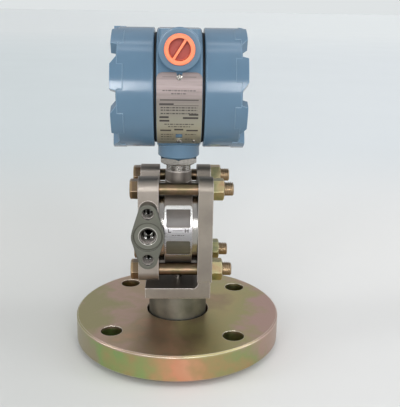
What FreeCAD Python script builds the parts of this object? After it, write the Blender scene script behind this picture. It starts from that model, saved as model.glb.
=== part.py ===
import FreeCAD, Part
import math
import os
import re

import Sketcher
from FreeCAD import Vector

# A differential pressure transmitter with a flanged level seal, in millimetres.
# +Z is up and Z = 0 is the gasket face that the transmitter stands on. The seal, the loose mounting
# flange and the sensor neck share the Z axis. The sensor module lies between its two process
# flanges on an axis along X, and so does the round electronics housing above it. -Y is the front.

# Every size is a cell of the sheet: (alias, value or formula, what it measures).
SIZES = [
    # Loose mounting flange: 3 inch, class 150
    ("flange_diameter", 190.5, "mounting flange, outside"),
    ("flange_thickness", 23.9, "mounting flange, face to face"),
    ("flange_bore_radius", 28.7, "mounting flange, bore round the seal neck"),
    ("flange_edge", 19.05, "mounting flange, rim to the middle of a bolt hole"),
    ("flange_circle", "=flange_diameter - 2 * flange_edge", "mounting flange, bolt circle"),
    ("flange_hole_radius", 9.525, "mounting flange, bolt holes"),
    ("flange_hole_count", 4, "mounting flange, number of bolt holes"),
    ("flange_turn", 39.75, "mounting flange, direction of the first bolt hole, degrees"),
    ("flange_chamfer", 1.2, "mounting flange, edge chamfer"),
    ("flange_clearance", 0.3, "gap between the gasket disc and the loose flange"),
    # Seal body
    ("face_radius", 63.5, "raised gasket face, radius"),
    ("face_thickness", 4.7, "gasket disc, thickness"),
    ("face_chamfer", 0.4, "gasket disc, edge chamfer"),
    ("seal_neck_radius", 27.0, "seal neck, radius"),
    ("seal_height", 53.9, "seal body, gasket face to the foot"),
    ("seal_recess_radius", 44.6, "recess for the process diaphragm"),
    ("seal_recess_depth", 1.3, "recess for the process diaphragm"),
    ("passage_radius", 1.6, "drilled fill passages"),
    ("diaphragm_thickness", 0.4, "process diaphragm, sheet"),
    ("diaphragm_rim", 3.4, "process diaphragm, width of its welded rim"),
    ("diaphragm_rim_height", 1.1, "process diaphragm, height of its welded rim"),
    ("diaphragm_fit", 0.1, "radial fit of the diaphragms in their recesses"),
    ("diaphragm_wave", 0.4, "process diaphragm, height of a corrugation"),
    ("diaphragm_waves", 6, "process diaphragm, number of corrugations"),
    ("diaphragm_bend", 10.0, "process diaphragm, bend radius of its corrugations"),
    # Sensor module, between the two process flanges
    ("module_radius", 39.5, "sensor module, middle of the disc"),
    ("module_middle", 24.0, "sensor module, width of the middle of the disc"),
    ("module_step", 2.9, "sensor module, depth of the machined steps each side"),
    ("module_step_radius", "=module_radius - module_step", "sensor module, radius of its steps"),
    ("module_width", 34.4, "sensor module, face to face"),
    ("isolator_edge", 8.6, "isolating diaphragms, distance inside the module's steps"),
    ("isolator_radius", "=module_step_radius - isolator_edge", "isolating diaphragms, radius"),
    ("isolator_recess", 1.2, "recess under each isolating diaphragm"),
    ("isolator_thickness", 0.35, "isolating diaphragms, sheet"),
    ("isolator_rim", 2.5, "isolating diaphragms, width of the welded rim"),
    ("o_ring_edge", 4.0, "process O-rings, distance inside the module's steps"),
    ("o_ring_radius", "=module_step_radius - o_ring_edge", "process O-rings, middle of the section"),
    ("o_ring_width", 3.0, "process O-rings, squeezed section, radial"),
    ("o_ring_depth", 2.0, "process O-rings, depth of the groove"),
    ("o_ring_corner", 0.7, "process O-rings, rounding of the squeezed section"),
    ("o_ring_clearance", 0.1, "O-rings in their grooves"),
    ("cell_radius", 19.0, "measuring cell, radius"),
    ("cell_half_width", 8.0, "measuring cell, each half"),
    ("cell_dish", 0.9, "measuring cell, depth of the dished face"),
    ("cell_dish_floor", 5.7, "measuring cell, flat floor of the dish"),
    ("cell_dish_rim", 15.2, "measuring cell, rim of the dish"),
    ("cell_port_radius", 1.0, "measuring cell, port in each half"),
    ("cell_clearance", 0.1, "measuring cell in its bore"),
    ("sensing_thickness", 0.5, "sensing diaphragm"),
    ("neck_radius", 11.75, "sensor neck, plain part"),
    ("neck_thread_radius", 10.75, "sensor neck, threaded part"),
    ("neck_root", 6.0, "sensor neck, depth of its root in the module"),
    ("neck_length", 48.5, "sensor neck, module axis to the shoulder"),
    ("neck_thread_length", 27.3, "sensor neck, length of the thread"),
    ("neck_bore_floor", 5.0, "sensor neck, measuring cell to the floor of the bore"),
    ("neck_bore_radius", 6.0, "sensor neck, bore for the leads"),
    ("neck_fit", 0.05, "radial fit of the neck thread in the nut and the housing"),
    # Process flanges and their bolting
    ("bolt_across", 53.0, "flange bolts, spacing front to back"),
    ("bolt_radius", 5.55, "flange bolts, 7/16 inch"),
    ("bolt_clearance", 0.625, "flange bolts, clearance round the sensor module"),
    ("bolt_up", "=2 * sqrt((module_radius + bolt_radius + bolt_clearance) ^ 2 - (bolt_across / 2) ^ 2)",
     "flange bolts, spacing in height"),
    ("bolt_proud", 8.2, "flange bolts, end beyond the nut"),
    ("bolt_point", 0.8, "flange bolts, chamfer of the end"),
    ("bolt_hole_radius", 5.9, "bolt holes in the process flanges"),
    ("head_flats", 15.9, "bolt heads, across flats"),
    ("head_height", 7.2, "bolt heads, height"),
    ("head_chamfer", 0.9, "bolt heads, chamfer of the corners"),
    ("nut_flats", 17.5, "flange nuts, across flats"),
    ("nut_height", 9.5, "flange nuts, height"),
    ("nut_chamfer", 1.0, "flange nuts, chamfer of the corners"),
    ("nut_fit", 0.05, "radial fit of the nuts on the bolts"),
    ("ear_radius", 10.0, "process flanges, radius of the bolt ears"),
    ("ear_width", 19.0, "process flanges, width of an ear at its top"),
    ("ear_slope", 5.5, "process flanges, how far an ear widens down to the dip"),
    ("ear_dip", 12.0, "process flanges, depth of the dip between two ears"),
    ("dip_radius", 7.0, "process flanges, rounding of the dips"),
    ("high_plate", 12.9, "high side flange, thickness of the plate"),
    ("low_plate", 17.8, "low side flange, thickness of the plate"),
    ("bolt_length", "=low_plate + module_width + high_plate + nut_height + bolt_proud",
     "flange bolts, length under the head"),
    ("chamber_depth", 1.0, "process flanges, depth of the pressure chamber"),
    ("foot_thickness", 9.7, "high side flange, foot on the seal"),
    ("foot_left", 29.4, "high side flange, reach of the foot to the left"),
    ("foot_rise", 15.9, "high side flange, foot underside to the step under the plate"),
    ("foot_step", 1.1, "high side flange, step under the plate"),
    ("foot_inside", 0.6, "high side flange, inside of the upright from the module's face"),
    ("low_flange_gap", 5.4, "gap between the foot and the low side flange"),
    ("module_height", "=seal_height + foot_thickness + low_flange_gap + bolt_up / 2 + ear_radius",
     "axis of the sensor module above the gasket face"),
    ("neck_shoulder", "=module_height + neck_length", "height of the shoulder under the neck thread"),
    ("neck_top", "=neck_shoulder + neck_thread_length", "height of the top of the sensor neck"),
    ("foot_fillet", 4.5, "high side flange, fillet inside the foot"),
    ("foot_plug_radius", 3.9, "fill plug on the foot, radius"),
    ("foot_plug_height", 4.2, "fill plug on the foot, height"),
    ("foot_plug_chamfer", 0.6, "fill plug on the foot, chamfer"),
    ("foot_plug_socket", 3.5, "fill plug on the foot, socket across flats"),
    ("foot_plug_socket_depth", 2.0, "fill plug on the foot, depth of the socket"),
    ("foot_plug_front", 4.0, "fill plug on the foot, distance in front of the axis"),
    # Port boss of the low side flange
    ("port_reach", 12.1, "port boss, how far it stands in front of the plate"),
    ("port_face", "=bolt_across / 2 + ear_radius + port_reach", "front face of the port boss from the axis"),
    ("port_root", 2.0, "port boss, depth of its root in the plate"),
    ("port_boss_radius", 14.3, "port boss, middle"),
    ("port_end_radius", 8.2, "port boss, its two ends"),
    ("port_spacing", 41.3, "adapter bolt holes, spacing"),
    ("port_back_radius", 8.6, "port boss, middle, where it meets the plate"),
    ("module_clearance", 1.0, "port boss, clearance round the sensor module"),
    ("port_spot_radius", 12.7, "spot face round the port"),
    ("port_spot_depth", 1.5, "spot face round the port, depth"),
    ("port_radius", 6.85, "process port, 1/4 inch pipe thread"),
    ("port_depth", 17.0, "process port, depth of the threaded hole"),
    ("port_drill_radius", 3.2, "process port, drilling on to the sensor module"),
    ("adapter_radius", 4.95, "adapter bolt holes, 7/16 inch thread"),
    ("adapter_depth", 16.0, "adapter bolt holes, depth"),
    ("vent_flats", 17.4, "vent valve seat, across flats"),
    ("vent_height", 8.0, "vent valve seat, hexagon height"),
    ("vent_shank", 11.0, "vent valve seat, shank in the flange"),
    ("vent_fit", 0.05, "radial fit of the vent valve seat"),
    ("vent_hole_gap", 1.0, "gap under the vent valve seat"),
    ("vent_seat_wall", 3.0, "vent valve seat, wall that the stem closes on"),
    ("stem_gap", 0.3, "gap under the tip of the stem"),
    ("stem_neck", 0.5, "vent valve stem, neck under its hexagon"),
    ("stem_way_radius", 1.2, "vent valve stem, drilled way"),
    ("stem_way_depth", 4.0, "vent valve stem, drilled way below the seat's top"),
    ("vent_bore_radius", 3.6, "vent valve seat, bore"),
    ("stem_flats", 8.0, "vent valve stem, across flats"),
    ("stem_height", 7.0, "vent valve stem, hexagon height"),
    ("stem_fit", 0.06, "radial fit of the stem in its seat"),
    # Sensor tag
    ("tag_thickness", 0.8, "sensor tag, sheet"),
    ("tag_rise", 36.5, "sensor tag, reach above the module axis, degrees"),
    ("tag_drop", 34.5, "sensor tag, reach below the module axis, degrees"),
    ("tag_corner", 2.6, "sensor tag, corner radius"),
    ("tag_window_width", 21.0, "sensor tag, width of its windows"),
    ("tag_window_corner", 1.6, "sensor tag, corners of its windows"),
    ("tag_gap", 0.05, "gap under the sensor tag"),
    ("upper_window_low", 5.9, "sensor tag, lower edge of the upper window above the axis"),
    ("upper_window_high", 20.6, "sensor tag, upper edge of the upper window above the axis"),
    ("lower_window_low", 20.4, "sensor tag, lower edge of the lower window below the axis"),
    ("lower_window_high", 6.2, "sensor tag, upper edge of the lower window below the axis"),
    # Lock nut
    ("lock_nut_flats", 31.5, "lock nut, across flats"),
    ("lock_nut_gap", 6.3, "lock nut, distance above the shoulder of the neck"),
    ("lock_nut_bottom", "=neck_shoulder + lock_nut_gap", "height of the underside of the lock nut"),
    ("lock_nut_thickness", 6.2, "lock nut, thickness"),
    ("lock_nut_chamfer", 2.4, "lock nut, height of the taper of its underside"),
    ("lock_nut_taper", 3.8, "lock nut, width of the taper of its underside"),
    ("lock_nut_edge", 0.8, "lock nut, height of its upper chamfer"),
    ("lock_nut_edge_width", 1.6, "lock nut, width of its upper chamfer"),
    ("header_inset", 1.5, "sensor header, distance inside the neck thread"),
    ("header_thickness", 1.6, "sensor header, thickness"),
    ("header_pin_circle", 4.2, "sensor header, distance of the pins from the axis"),
    ("header_pin_radius", 0.6, "sensor header, pins"),
    ("header_pin_length", 3.4, "sensor header, length of the pins"),
    ("header_pin_count", 6, "sensor header, number of pins"),
    ("neck_ring_rise", 8.0, "neck O-ring, groove above the underside of the housing neck"),
    ("neck_ring_depth", 1.6, "neck O-ring, depth of the groove"),
    ("neck_ring_width", 2.4, "neck O-ring, width of the groove"),
    ("neck_ring_corner", 0.6, "neck O-ring, rounding of its section"),
    # Electronics housing
    ("housing_radius", 50.8, "barrel of the housing, radius"),
    ("housing_width", 37.6, "barrel of the housing, width"),
    ("housing_chamfer", 1.0, "barrel of the housing, edge chamfer"),
    ("spigot_step", 6.4, "threaded ends of the housing, step down from the barrel"),
    ("spigot_radius", "=housing_radius - spigot_step", "threaded ends of the housing, radius"),
    ("spigot_length", 23.2, "threaded ends of the housing, length"),
    ("spigot_end", "=housing_width / 2 + spigot_length",
     "threaded ends of the housing, distance from the middle"),
    ("chamber_wall", 6.4, "threaded ends of the housing, wall"),
    ("chamber_radius", "=spigot_radius - chamber_wall", "the two chambers of the housing, radius"),
    ("bulkhead", 6.0, "wall between the two chambers"),
    ("housing_neck_radius", 18.5, "housing neck, radius"),
    ("housing_neck_gap", 0.3, "gap between the lock nut and the housing neck"),
    ("housing_neck_bottom", "=lock_nut_bottom + lock_nut_thickness + housing_neck_gap",
     "height of the underside of the housing neck"),
    ("housing_neck_drop", 9.3, "housing neck, how far it hangs below the barrel"),
    ("housing_height", "=housing_neck_bottom + housing_neck_drop + housing_radius",
     "axis of the housing above the gasket face"),
    ("housing_neck_chamfer", 1.6, "housing neck, chamfer of its underside"),
    ("neck_headroom", 5.4, "housing neck, room above the sensor neck"),
    ("housing_neck_bore_top", "=neck_top + neck_headroom", "height of the top of the sensor neck's bore"),
    ("lead_hole_radius", 2.6, "hole for the sensor leads"),
    ("lead_hole_side", 7.4, "holes for the leads and wires, distance from the middle"),
    ("wire_hole_radius", 3.6, "wire holes from the conduit entries"),
    ("wire_hole_drop", 2.5, "wire holes, distance below the middle of the conduit entries"),
    ("boss_radius", 17.0, "front conduit boss, radius"),
    ("boss_rise", 35.6, "conduit bosses, middle above the housing axis"),
    ("boss_proud", 1.8, "conduit bosses, how far they stand beyond the barrel"),
    ("boss_face", "=housing_radius + boss_proud", "conduit bosses, face from the axis"),
    ("boss_edge", 1.0, "front conduit boss, rounding of the face"),
    ("rear_boss_radius", 13.8, "rear conduit boss, radius"),
    ("shoulder_width", 32.8, "shoulder behind the front boss, width"),
    ("shoulder_back", 3.0, "shoulder behind the front boss, distance behind its face"),
    ("shoulder_round", 16.0, "shoulder behind the front boss, radius of its underside"),
    ("shoulder_edge", 2.5, "shoulder behind the front boss, rounding of its front edge"),
    ("shoulder_proud", 0.4, "shoulder behind the front boss, flat top above the barrel"),
    ("conduit_radius", 10.3, "conduit entries, 1/2 inch pipe thread"),
    ("conduit_depth", 20.0, "conduit entries, depth"),
    # Covers
    ("cover_gap", 2.0, "gap between the housing and each cover, where the O-ring shows"),
    ("cover_depth", 30.2, "covers, rim to end face"),
    ("cover_face", "=housing_width / 2 + cover_gap + cover_depth",
     "covers, end face from the middle of the housing"),
    ("cover_step", 0.8, "covers, how far the lugs stand outside the barrel"),
    ("cover_radius", "=housing_radius + cover_step", "covers, radius over the lugs"),
    ("cover_floor", 5.4, "covers, thickness of the end"),
    ("cover_chamfer", 0.8, "covers, edge chamfer"),
    ("cover_clearance", 0.3, "covers, clearance over the threaded ends"),
    ("lug_count", 8, "covers, number of wrench lugs"),
    ("lug_height", 4.8, "covers, height of the wrench lugs"),
    ("lug_width", 20.0, "covers, width of a wrench lug"),
    ("lug_ramp", 7.5, "covers, run of the long ramp of a lug"),
    ("lug_side", 1.6, "covers, run of the steep side of a lug"),
    ("lug_depth", 11.1, "covers, lug from its outside to its inside"),
    ("lug_inner_radius", "=cover_radius - lug_depth", "covers, inside of the wrench lugs"),
    ("lug_pad", 5.5, "covers, length of the pad that carries a lug along the side"),
    ("lug_proud", 0.5, "covers, height of the pads above the side"),
    ("left_lug_turn", 16.0, "left cover, direction of its first lug above the front, degrees"),
    ("right_lug_turn", 23.0, "right cover, direction of its first lug above the front, degrees"),
    ("cover_ring_seat", 1.9, "cover O-rings, middle of the section above the threaded end"),
    ("cover_ring_radius", "=spigot_radius + cover_ring_seat", "cover O-rings, middle of the section"),
    ("cover_ring_section", 1.7, "cover O-rings, section"),
    # Conduit plug
    ("plug_radius", 12.25, "conduit plug, head"),
    ("plug_head", 2.6, "conduit plug, height of the head"),
    ("plug_shank_length", 13.0, "conduit plug, shank"),
    ("plug_fit", 0.06, "radial fit of the plug in the conduit entry"),
    ("plug_cup_radius", 8.8, "conduit plug, cup"),
    ("plug_cup_depth", 11.0, "conduit plug, depth of the cup"),
    ("plug_edge", 0.9, "conduit plug, rounding of the head"),
    ("plug_web", 2.0, "conduit plug, web across the cup"),
    ("plug_web_drop", 0.8, "conduit plug, web below the face of the head"),
    ("plug_root", 0.4, "conduit plug, root of the web in the cup"),
    ("plug_web_turn", 33.0, "conduit plug, lean of the web from upright, degrees"),
    # Nameplate
    ("plate_thickness", 0.8, "nameplate, sheet"),
    ("plate_margin", 0.4, "nameplate, distance from the sides of the barrel"),
    ("plate_width", "=housing_width - 2 * plate_margin", "nameplate, width"),
    ("plate_rise", 20.0, "nameplate, reach above the housing axis, degrees"),
    ("plate_drop", 57.5, "nameplate, reach below the housing axis, degrees"),
    ("plate_top_corner", 5.2, "nameplate, radius of the upper corners"),
    ("plate_corner", 2.6, "nameplate, radius of the lower corners"),
    ("plate_notch", 5.4, "nameplate, width of the notch down to the upper screw"),
    ("plate_window_width", 5.6, "nameplate, width of the opening over the lower screw"),
    ("plate_window_high", 40.5, "nameplate, top of that opening below the axis, degrees"),
    ("plate_window_low", 46.5, "nameplate, bottom of that opening below the axis, degrees"),
    ("plate_gap", 0.1, "gap under the nameplate"),
    ("plate_screw_radius", 2.5, "nameplate screws, head"),
    ("plate_screw_head", 1.3, "nameplate screws, height of the head"),
    ("plate_screw_shank", 1.4, "nameplate screws, shank"),
    ("plate_screw_depth", 5.0, "nameplate screws, depth of the thread"),
    ("plate_screw_fit", 0.05, "radial fit of the nameplate screws"),
    ("plate_screw_gap", 0.3, "gap under the nameplate screws and the rivet"),
    ("plate_screw_slot", 0.8, "nameplate screws, slot"),
    ("plate_hole_fit", 0.15, "nameplate, radial clearance of its holes"),
    ("upper_screw_angle", 15.5, "upper nameplate screw above the axis, degrees"),
    ("lower_screw_angle", 52.0, "lower nameplate screw below the axis, degrees"),
    ("rivet_radius", 1.3, "nameplate rivet, head"),
    ("rivet_head", 0.6, "nameplate rivet, height of the head"),
    ("rivet_shank", 0.75, "nameplate rivet, shank"),
    ("rivet_depth", 3.0, "nameplate rivet, depth of its hole"),
    ("rivet_side", 12.5, "nameplate rivet, distance to the right"),
    # Zero and span screws, behind the nameplate
    ("adjuster_radius", 3.4, "zero and span screws, head"),
    ("adjuster_shank", 2.0, "zero and span screws, shank"),
    ("adjuster_side", 9.5, "zero and span screws, distance to the right"),
    ("adjuster_rise", 9.0, "zero and span screws, distance above and below the axis"),
    ("adjuster_head", 3.4, "zero and span screws, height of the head"),
    ("adjuster_sink", 4.2, "zero and span screws, how far the head is below the wall"),
    ("adjuster_fit", 0.06, "radial fit of the zero and span screws"),
    ("adjuster_slot", 0.9, "zero and span screws, slot width"),
    ("adjuster_slot_depth", 1.4, "zero and span screws, slot depth"),
    ("adjuster_depth", 18.6, "zero and span screws, inner end below the outside of the barrel"),
    ("adjuster_reach", "=housing_radius - adjuster_depth", "zero and span screws, inner end from the axis"),
    # Inside the housing
    ("board_clearance", 4.0, "circuit boards, clearance in the chamber"),
    ("board_radius", "=chamber_radius - board_clearance", "circuit boards, radius"),
    ("board_thickness", 1.6, "circuit boards, thickness"),
    ("calibration_gap", 11.0, "bulkhead to the calibration board"),
    ("amplifier_gap", 8.0, "calibration board to the amplifier board"),
    ("post_radius", 3.0, "board posts, radius"),
    ("post_edge", 5.5, "board posts, middle from the edge of the boards"),
    ("post_circle", "=board_radius - post_edge", "board posts, distance from the axis"),
    ("post_count", 4, "board posts, number"),
    ("board_screw_radius", 1.5, "board screws, shank"),
    ("board_screw_head", 2.8, "board screws, head radius"),
    ("board_screw_rise", 2.0, "board screws, height of the head"),
    ("board_screw_gap", 2.0, "board screws, gap under the tip"),
    ("board_screw_fit", 0.08, "radial fit of the board screws"),
    ("pot_gap", 0.3, "potentiometers, gap to the adjustment screws"),
    ("pot_length", 8.7, "potentiometers, length"),
    ("pot_width", 8.0, "potentiometers, width"),
    ("pot_height", 5.5, "potentiometers, height"),
    ("plug_row_across", 8.5, "board connector, distance to the side"),
    ("plug_row_drop", 6.0, "board connector, distance below the axis"),
    ("plug_row_width", 5.0, "board connector, width"),
    ("plug_row_length", 16.0, "board connector, length"),
    ("plug_row_height", 6.0, "board connector, height"),
    ("coil_radius", 5.0, "coil, radius"),
    ("coil_across", 5.0, "coil, distance to the front"),
    ("coil_inset", 8.5, "coil, distance inside the lowest board post"),
    ("coil_drop", "=post_circle - coil_inset", "coil, distance below the axis"),
    ("coil_height", 6.5, "coil, height"),
    ("capacitor_radius", 4.0, "capacitors, radius"),
    ("capacitor_height", 8.0, "capacitors, height"),
    ("capacitor_across", 16.0, "capacitors, distance to the front"),
    ("capacitor_rise", 14.0, "capacitors, upper one above the axis"),
    ("capacitor_pitch", 10.0, "capacitors, distance from one to the next"),
    ("capacitor_count", 3, "capacitors, number"),
    ("regulator_across", 14.5, "output transistor, distance to the front"),
    ("regulator_drop", 17.0, "output transistor, distance below the axis"),
    ("regulator_width", 11.0, "output transistor, width"),
    ("regulator_depth", 6.0, "output transistor, depth"),
    ("regulator_height", 6.0, "output transistor, height"),
    ("chip_width", 13.0, "amplifier chips, width"),
    ("chip_depth", 7.5, "amplifier chips, depth"),
    ("chip_height", 2.2, "amplifier chips, height"),
    ("chip_across", 4.0, "amplifier chips, distance to the back"),
    ("chip_rise", 8.0, "amplifier chips, distance above and below the axis"),
    ("block_clearance", 6.26, "terminal block, clearance of its corners in the chamber"),
    ("block_height", 29.7, "terminal block, height"),
    ("block_width", "=2 * sqrt((chamber_radius - block_clearance) ^ 2 - (block_height / 2) ^ 2)",
     "terminal block, width"),
    ("block_corner", 4.0, "terminal block, corner radius"),
    ("block_thickness", 9.0, "terminal block, thickness"),
    ("block_ridge", 5.0, "terminal block, height of its barriers"),
    ("block_ridge_width", 2.0, "terminal block, width of its barriers"),
    ("block_ridge_length", 18.0, "terminal block, length of its barriers"),
    ("terminal_count", 4, "terminal screws, number"),
    ("terminal_pitch", "=(block_width - block_ridge_width) / terminal_count", "terminal screws, pitch"),
    ("terminal_radius", 4.0, "terminal screws, head"),
    ("terminal_head", 2.6, "terminal screws, height of the head"),
    ("terminal_slot", 1.0, "terminal screws, slot width"),
    ("terminal_slot_depth", 1.3, "terminal screws, slot depth"),
    ("terminal_shank", 1.9, "terminal screws, shank"),
    ("terminal_fit", 0.08, "radial fit of the terminal screws"),
    ("terminal_depth", 7.0, "terminal screws, depth of their holes"),
    ("terminal_gap", 0.5, "gap under the terminal screws"),
    ("ground_edge", 14.0, "ground screw, distance from the wall of the chamber"),
    ("ground_drop", "=chamber_radius - ground_edge", "ground screw, distance below the axis"),
]

FRONT = 180.0  # direction of -Y in a sketch across Y and Z, degrees
PLANES = {"XY": "XY_Plane", "XZ": "XZ_Plane", "YZ": "YZ_Plane"}

doc = FreeCAD.newDocument("Transmitter")
sheet = doc.addObject("Spreadsheet::Sheet", "Sizes")
ALIASES = {alias for alias, _, _ in SIZES}


def fill_sheet():
    """One row for each size: its name, its value or formula and what it measures."""
    for row, (alias, _, note) in enumerate(SIZES, start=1):
        sheet.set(f"A{row}", alias)
        sheet.set(f"C{row}", note)
        sheet.setAlias(f"B{row}", alias)
    for row, (_, size, _) in enumerate(SIZES, start=1):
        sheet.set(f"B{row}", str(size))
    doc.recompute()


def tied(text):
    """The expression with every alias read from the sheet."""
    return re.sub(r"[a-z_]+", lambda word: "Sizes." + word[0] if word[0] in ALIASES else word[0], text)


def value(text):
    """The expression's value now, for first guesses and for picking edges."""
    return float(sheet.evalExpression(tied(text)))


def bind(thing, prop, text):
    thing.setExpression(prop, tied(text))


def half(alias):
    return f"{alias} / 2"


def put(thing, at):
    """Places a thing at three expressions."""
    for axis, text in zip("xyz", at):
        bind(thing, f"Placement.Base.{axis}", text)


class Piece:
    """One sub-part: a body whose sketches and features take their sizes from the sheet."""

    def __init__(self, label, at=("0", "0", "0")):
        self.body = doc.addObject("PartDesign::Body", label)
        self.body.Label = label
        put(self.body, at)

    def origin(self, role):
        return next(item for item in self.body.Origin.OriginFeatures if item.Role == role)

    def sketch(self, name, plane, level):
        """An empty sketch on a plane of the body, moved along X, Y or Z to a level."""
        sketch = self.body.newObject("Sketcher::SketchObject", name)
        sketch.AttachmentSupport = (self.origin(PLANES[plane]), [""])
        sketch.MapMode = "FlatFace"
        bind(sketch, "AttachmentOffset.Base.z", f"-({level})" if plane == "XZ" else level)
        return sketch

    def lean(self, angle):
        """Turns the body about its own X axis."""
        self.body.Placement = FreeCAD.Placement(Vector(), FreeCAD.Rotation(Vector(1, 0, 0), 1))
        bind(self.body, "Placement.Rotation.Angle", angle)

    def outline(self, sketch, corners):
        """A closed outline of straight edges; a corner is (across, up) or (across, up, radius)."""
        places = [Vector(value(corner[0]), value(corner[1]), 0) for corner in corners]
        count = len(corners)
        arcs = {}
        ends = []
        for index, corner in enumerate(corners):
            before, here, after = places[index - 1], places[index], places[(index + 1) % count]
            if len(corner) == 2:
                ends.append((here, here))
                continue
            radius = value(corner[2])
            inward = (before - here).normalize()
            outward = (after - here).normalize()
            reach = radius / math.tan(inward.getAngle(outward) / 2)
            middle = here + (inward + outward).normalize() * math.hypot(radius, reach)
            touch = here + (here - middle).normalize() * (radius - here.distanceToPoint(middle))
            ends.append((here + inward * reach, here + outward * reach))
            arcs[index] = Part.Arc(ends[-1][0], touch, ends[-1][1])
        first = sketch.GeometryCount
        for index in range(count):
            sketch.addGeometry(Part.LineSegment(ends[index][1], ends[(index + 1) % count][0]), False)
        for index, corner in enumerate(corners):
            line, previous = first + index, first + (index - 1) % count
            if index not in arcs:
                sketch.addConstraint(Sketcher.Constraint("Coincident", previous, 2, line, 1))
                self.pin(sketch, line, 1, corner[0], corner[1])
                continue
            arc = sketch.addGeometry(arcs[index], False)
            point = sketch.addGeometry(Part.Point(places[index]), True)
            start, end = (1, 2) if self.near(sketch, arc, 1, ends[index][0]) else (2, 1)
            sketch.addConstraint(Sketcher.Constraint("Tangent", previous, 2, arc, start))
            sketch.addConstraint(Sketcher.Constraint("Tangent", line, 1, arc, end))
            self.measure(sketch, "Radius", (arc,), corner[2])
            sketch.addConstraint(Sketcher.Constraint("PointOnObject", point, 1, previous))
            sketch.addConstraint(Sketcher.Constraint("PointOnObject", point, 1, line))
            self.pin(sketch, point, 1, corner[0], corner[1])

    @staticmethod
    def near(sketch, geometry, end, place):
        return sketch.getPoint(geometry, end).distanceToPoint(place) < 1e-6

    @staticmethod
    def measure(sketch, kind, on, text):
        index = sketch.addConstraint(Sketcher.Constraint(kind, *on, value(text)))
        bind(sketch, f"Constraints[{index}]", text)

    def pin(self, sketch, geometry, end, across, up):
        """Ties a point to the sketch's origin by its two distances."""
        self.measure(sketch, "DistanceX", (-1, 1, geometry, end), across)
        self.measure(sketch, "DistanceY", (-1, 1, geometry, end), up)

    def circles(self, sketch, circles):
        """Circles given as (across, up, radius)."""
        for across, up, radius in circles:
            centre = Vector(value(across), value(up), 0)
            ring = sketch.addGeometry(Part.Circle(centre, Vector(0, 0, 1), value(radius)), False)
            self.measure(sketch, "Radius", (ring,), radius)
            self.pin(sketch, ring, 3, across, up)

    def band(self, sketch, inner, outer, start, end):
        """Part of a ring round the sketch's origin, between two directions in degrees."""
        angles = [math.radians(value(start)), math.radians(value(end))]
        radii = [value(inner), value(outer)]
        spot = [[Vector(r * math.cos(a), r * math.sin(a), 0) for a in angles] for r in radii]
        arcs = []
        for radius in radii:
            circle = Part.Circle(Vector(0, 0, 0), Vector(0, 0, 1), radius)
            arcs.append(sketch.addGeometry(Part.ArcOfCircle(circle, angles[0], angles[1]), False))
            sketch.addConstraint(Sketcher.Constraint("Coincident", arcs[-1], 3, -1, 1))
        for side in (0, 1):
            line = sketch.addGeometry(Part.LineSegment(spot[0][side], spot[1][side]), False)
            sketch.addConstraint(Sketcher.Constraint("Coincident", line, 1, arcs[0], side + 1))
            sketch.addConstraint(Sketcher.Constraint("Coincident", line, 2, arcs[1], side + 1))
            sketch.addConstraint(Sketcher.Constraint("PointOnObject", -1, 1, line))
            angle = (start, end)[side]
            steep = abs(math.sin(angles[side])) > abs(math.cos(angles[side]))
            kind, wave = ("DistanceX", "cos") if steep else ("DistanceY", "sin")
            self.measure(sketch, kind, (-1, 1, line, 2), f"({outer}) * {wave}({angle})")
        for arc, radius in zip(arcs, (inner, outer)):
            self.measure(sketch, "Radius", (arc,), radius)

    def draw(self, name, plane, level, shape):
        """A sketch that holds corners, ("circles", ...), ("band", ...) or ("hexagon", ...)."""
        sketch = self.sketch(name + "_sketch", plane, level)
        kind = shape[0]
        if kind == "circles":
            self.circles(sketch, shape[1:])
        elif kind == "band":
            self.band(sketch, *shape[1:])
        else:
            self.outline(sketch, shape)
        doc.recompute()
        if sketch.solve() != 0:
            raise RuntimeError(f"{self.body.Label}: {name} has no solution")
        return sketch

    def feature(self, kind, name, sketch):
        before = self.body.Shape.Volume if self.body.Tip else 0.0
        feature = self.body.newObject("PartDesign::" + kind, name)
        feature.Profile = sketch
        return feature, before

    def settle(self, feature, before, grows):
        """Rebuilds and makes sure that the feature added or took away material."""
        doc.recompute()
        volume = self.body.Shape.Volume
        if {"Invalid", "Error"} & set(feature.State) or (volume - before) * (1 if grows else -1) <= 0:
            raise RuntimeError(f"{self.body.Label}: {feature.Label} did nothing")
        return feature

    def add(self, name, plane, shape, low, high):
        """A pad from one level to another along the plane's axis."""
        feature, before = self.feature("Pad", name, self.draw(name, plane, low, shape))
        bind(feature, "Length", f"({high}) - ({low})")
        feature.Reversed = plane == "XZ"
        return self.settle(feature, before, True)

    def cut(self, name, plane, shape, low, high):
        """A pocket from one level to another along the plane's axis."""
        feature, before = self.feature("Pocket", name, self.draw(name, plane, low, shape))
        bind(feature, "Length", f"({high}) - ({low})")
        feature.Reversed = plane != "XZ"
        return self.settle(feature, before, False)

    def turn(self, name, plane, corners, axis):
        """A full turn of a profile about the sketch's across or up axis."""
        sketch = self.draw(name, plane, "0", corners)
        feature, before = self.feature("Revolution", name, sketch)
        feature.ReferenceAxis = (sketch, ["H_Axis" if axis == "across" else "V_Axis"])
        return self.settle(feature, before, True)

    def groove(self, name, plane, corners, axis):
        sketch = self.draw(name, plane, "0", corners)
        feature, before = self.feature("Groove", name, sketch)
        feature.ReferenceAxis = (sketch, ["H_Axis" if axis == "across" else "V_Axis"])
        return self.settle(feature, before, False)

    def loft(self, name, plane, first, second):
        """A loft between two outlines, each given with its level."""
        (low, start), (high, end) = first, second
        feature, before = self.feature("AdditiveLoft", name, self.draw(name + "_start", plane, low, start))
        feature.Sections = [self.draw(name + "_end", plane, high, end)]
        return self.settle(feature, before, True)

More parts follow.
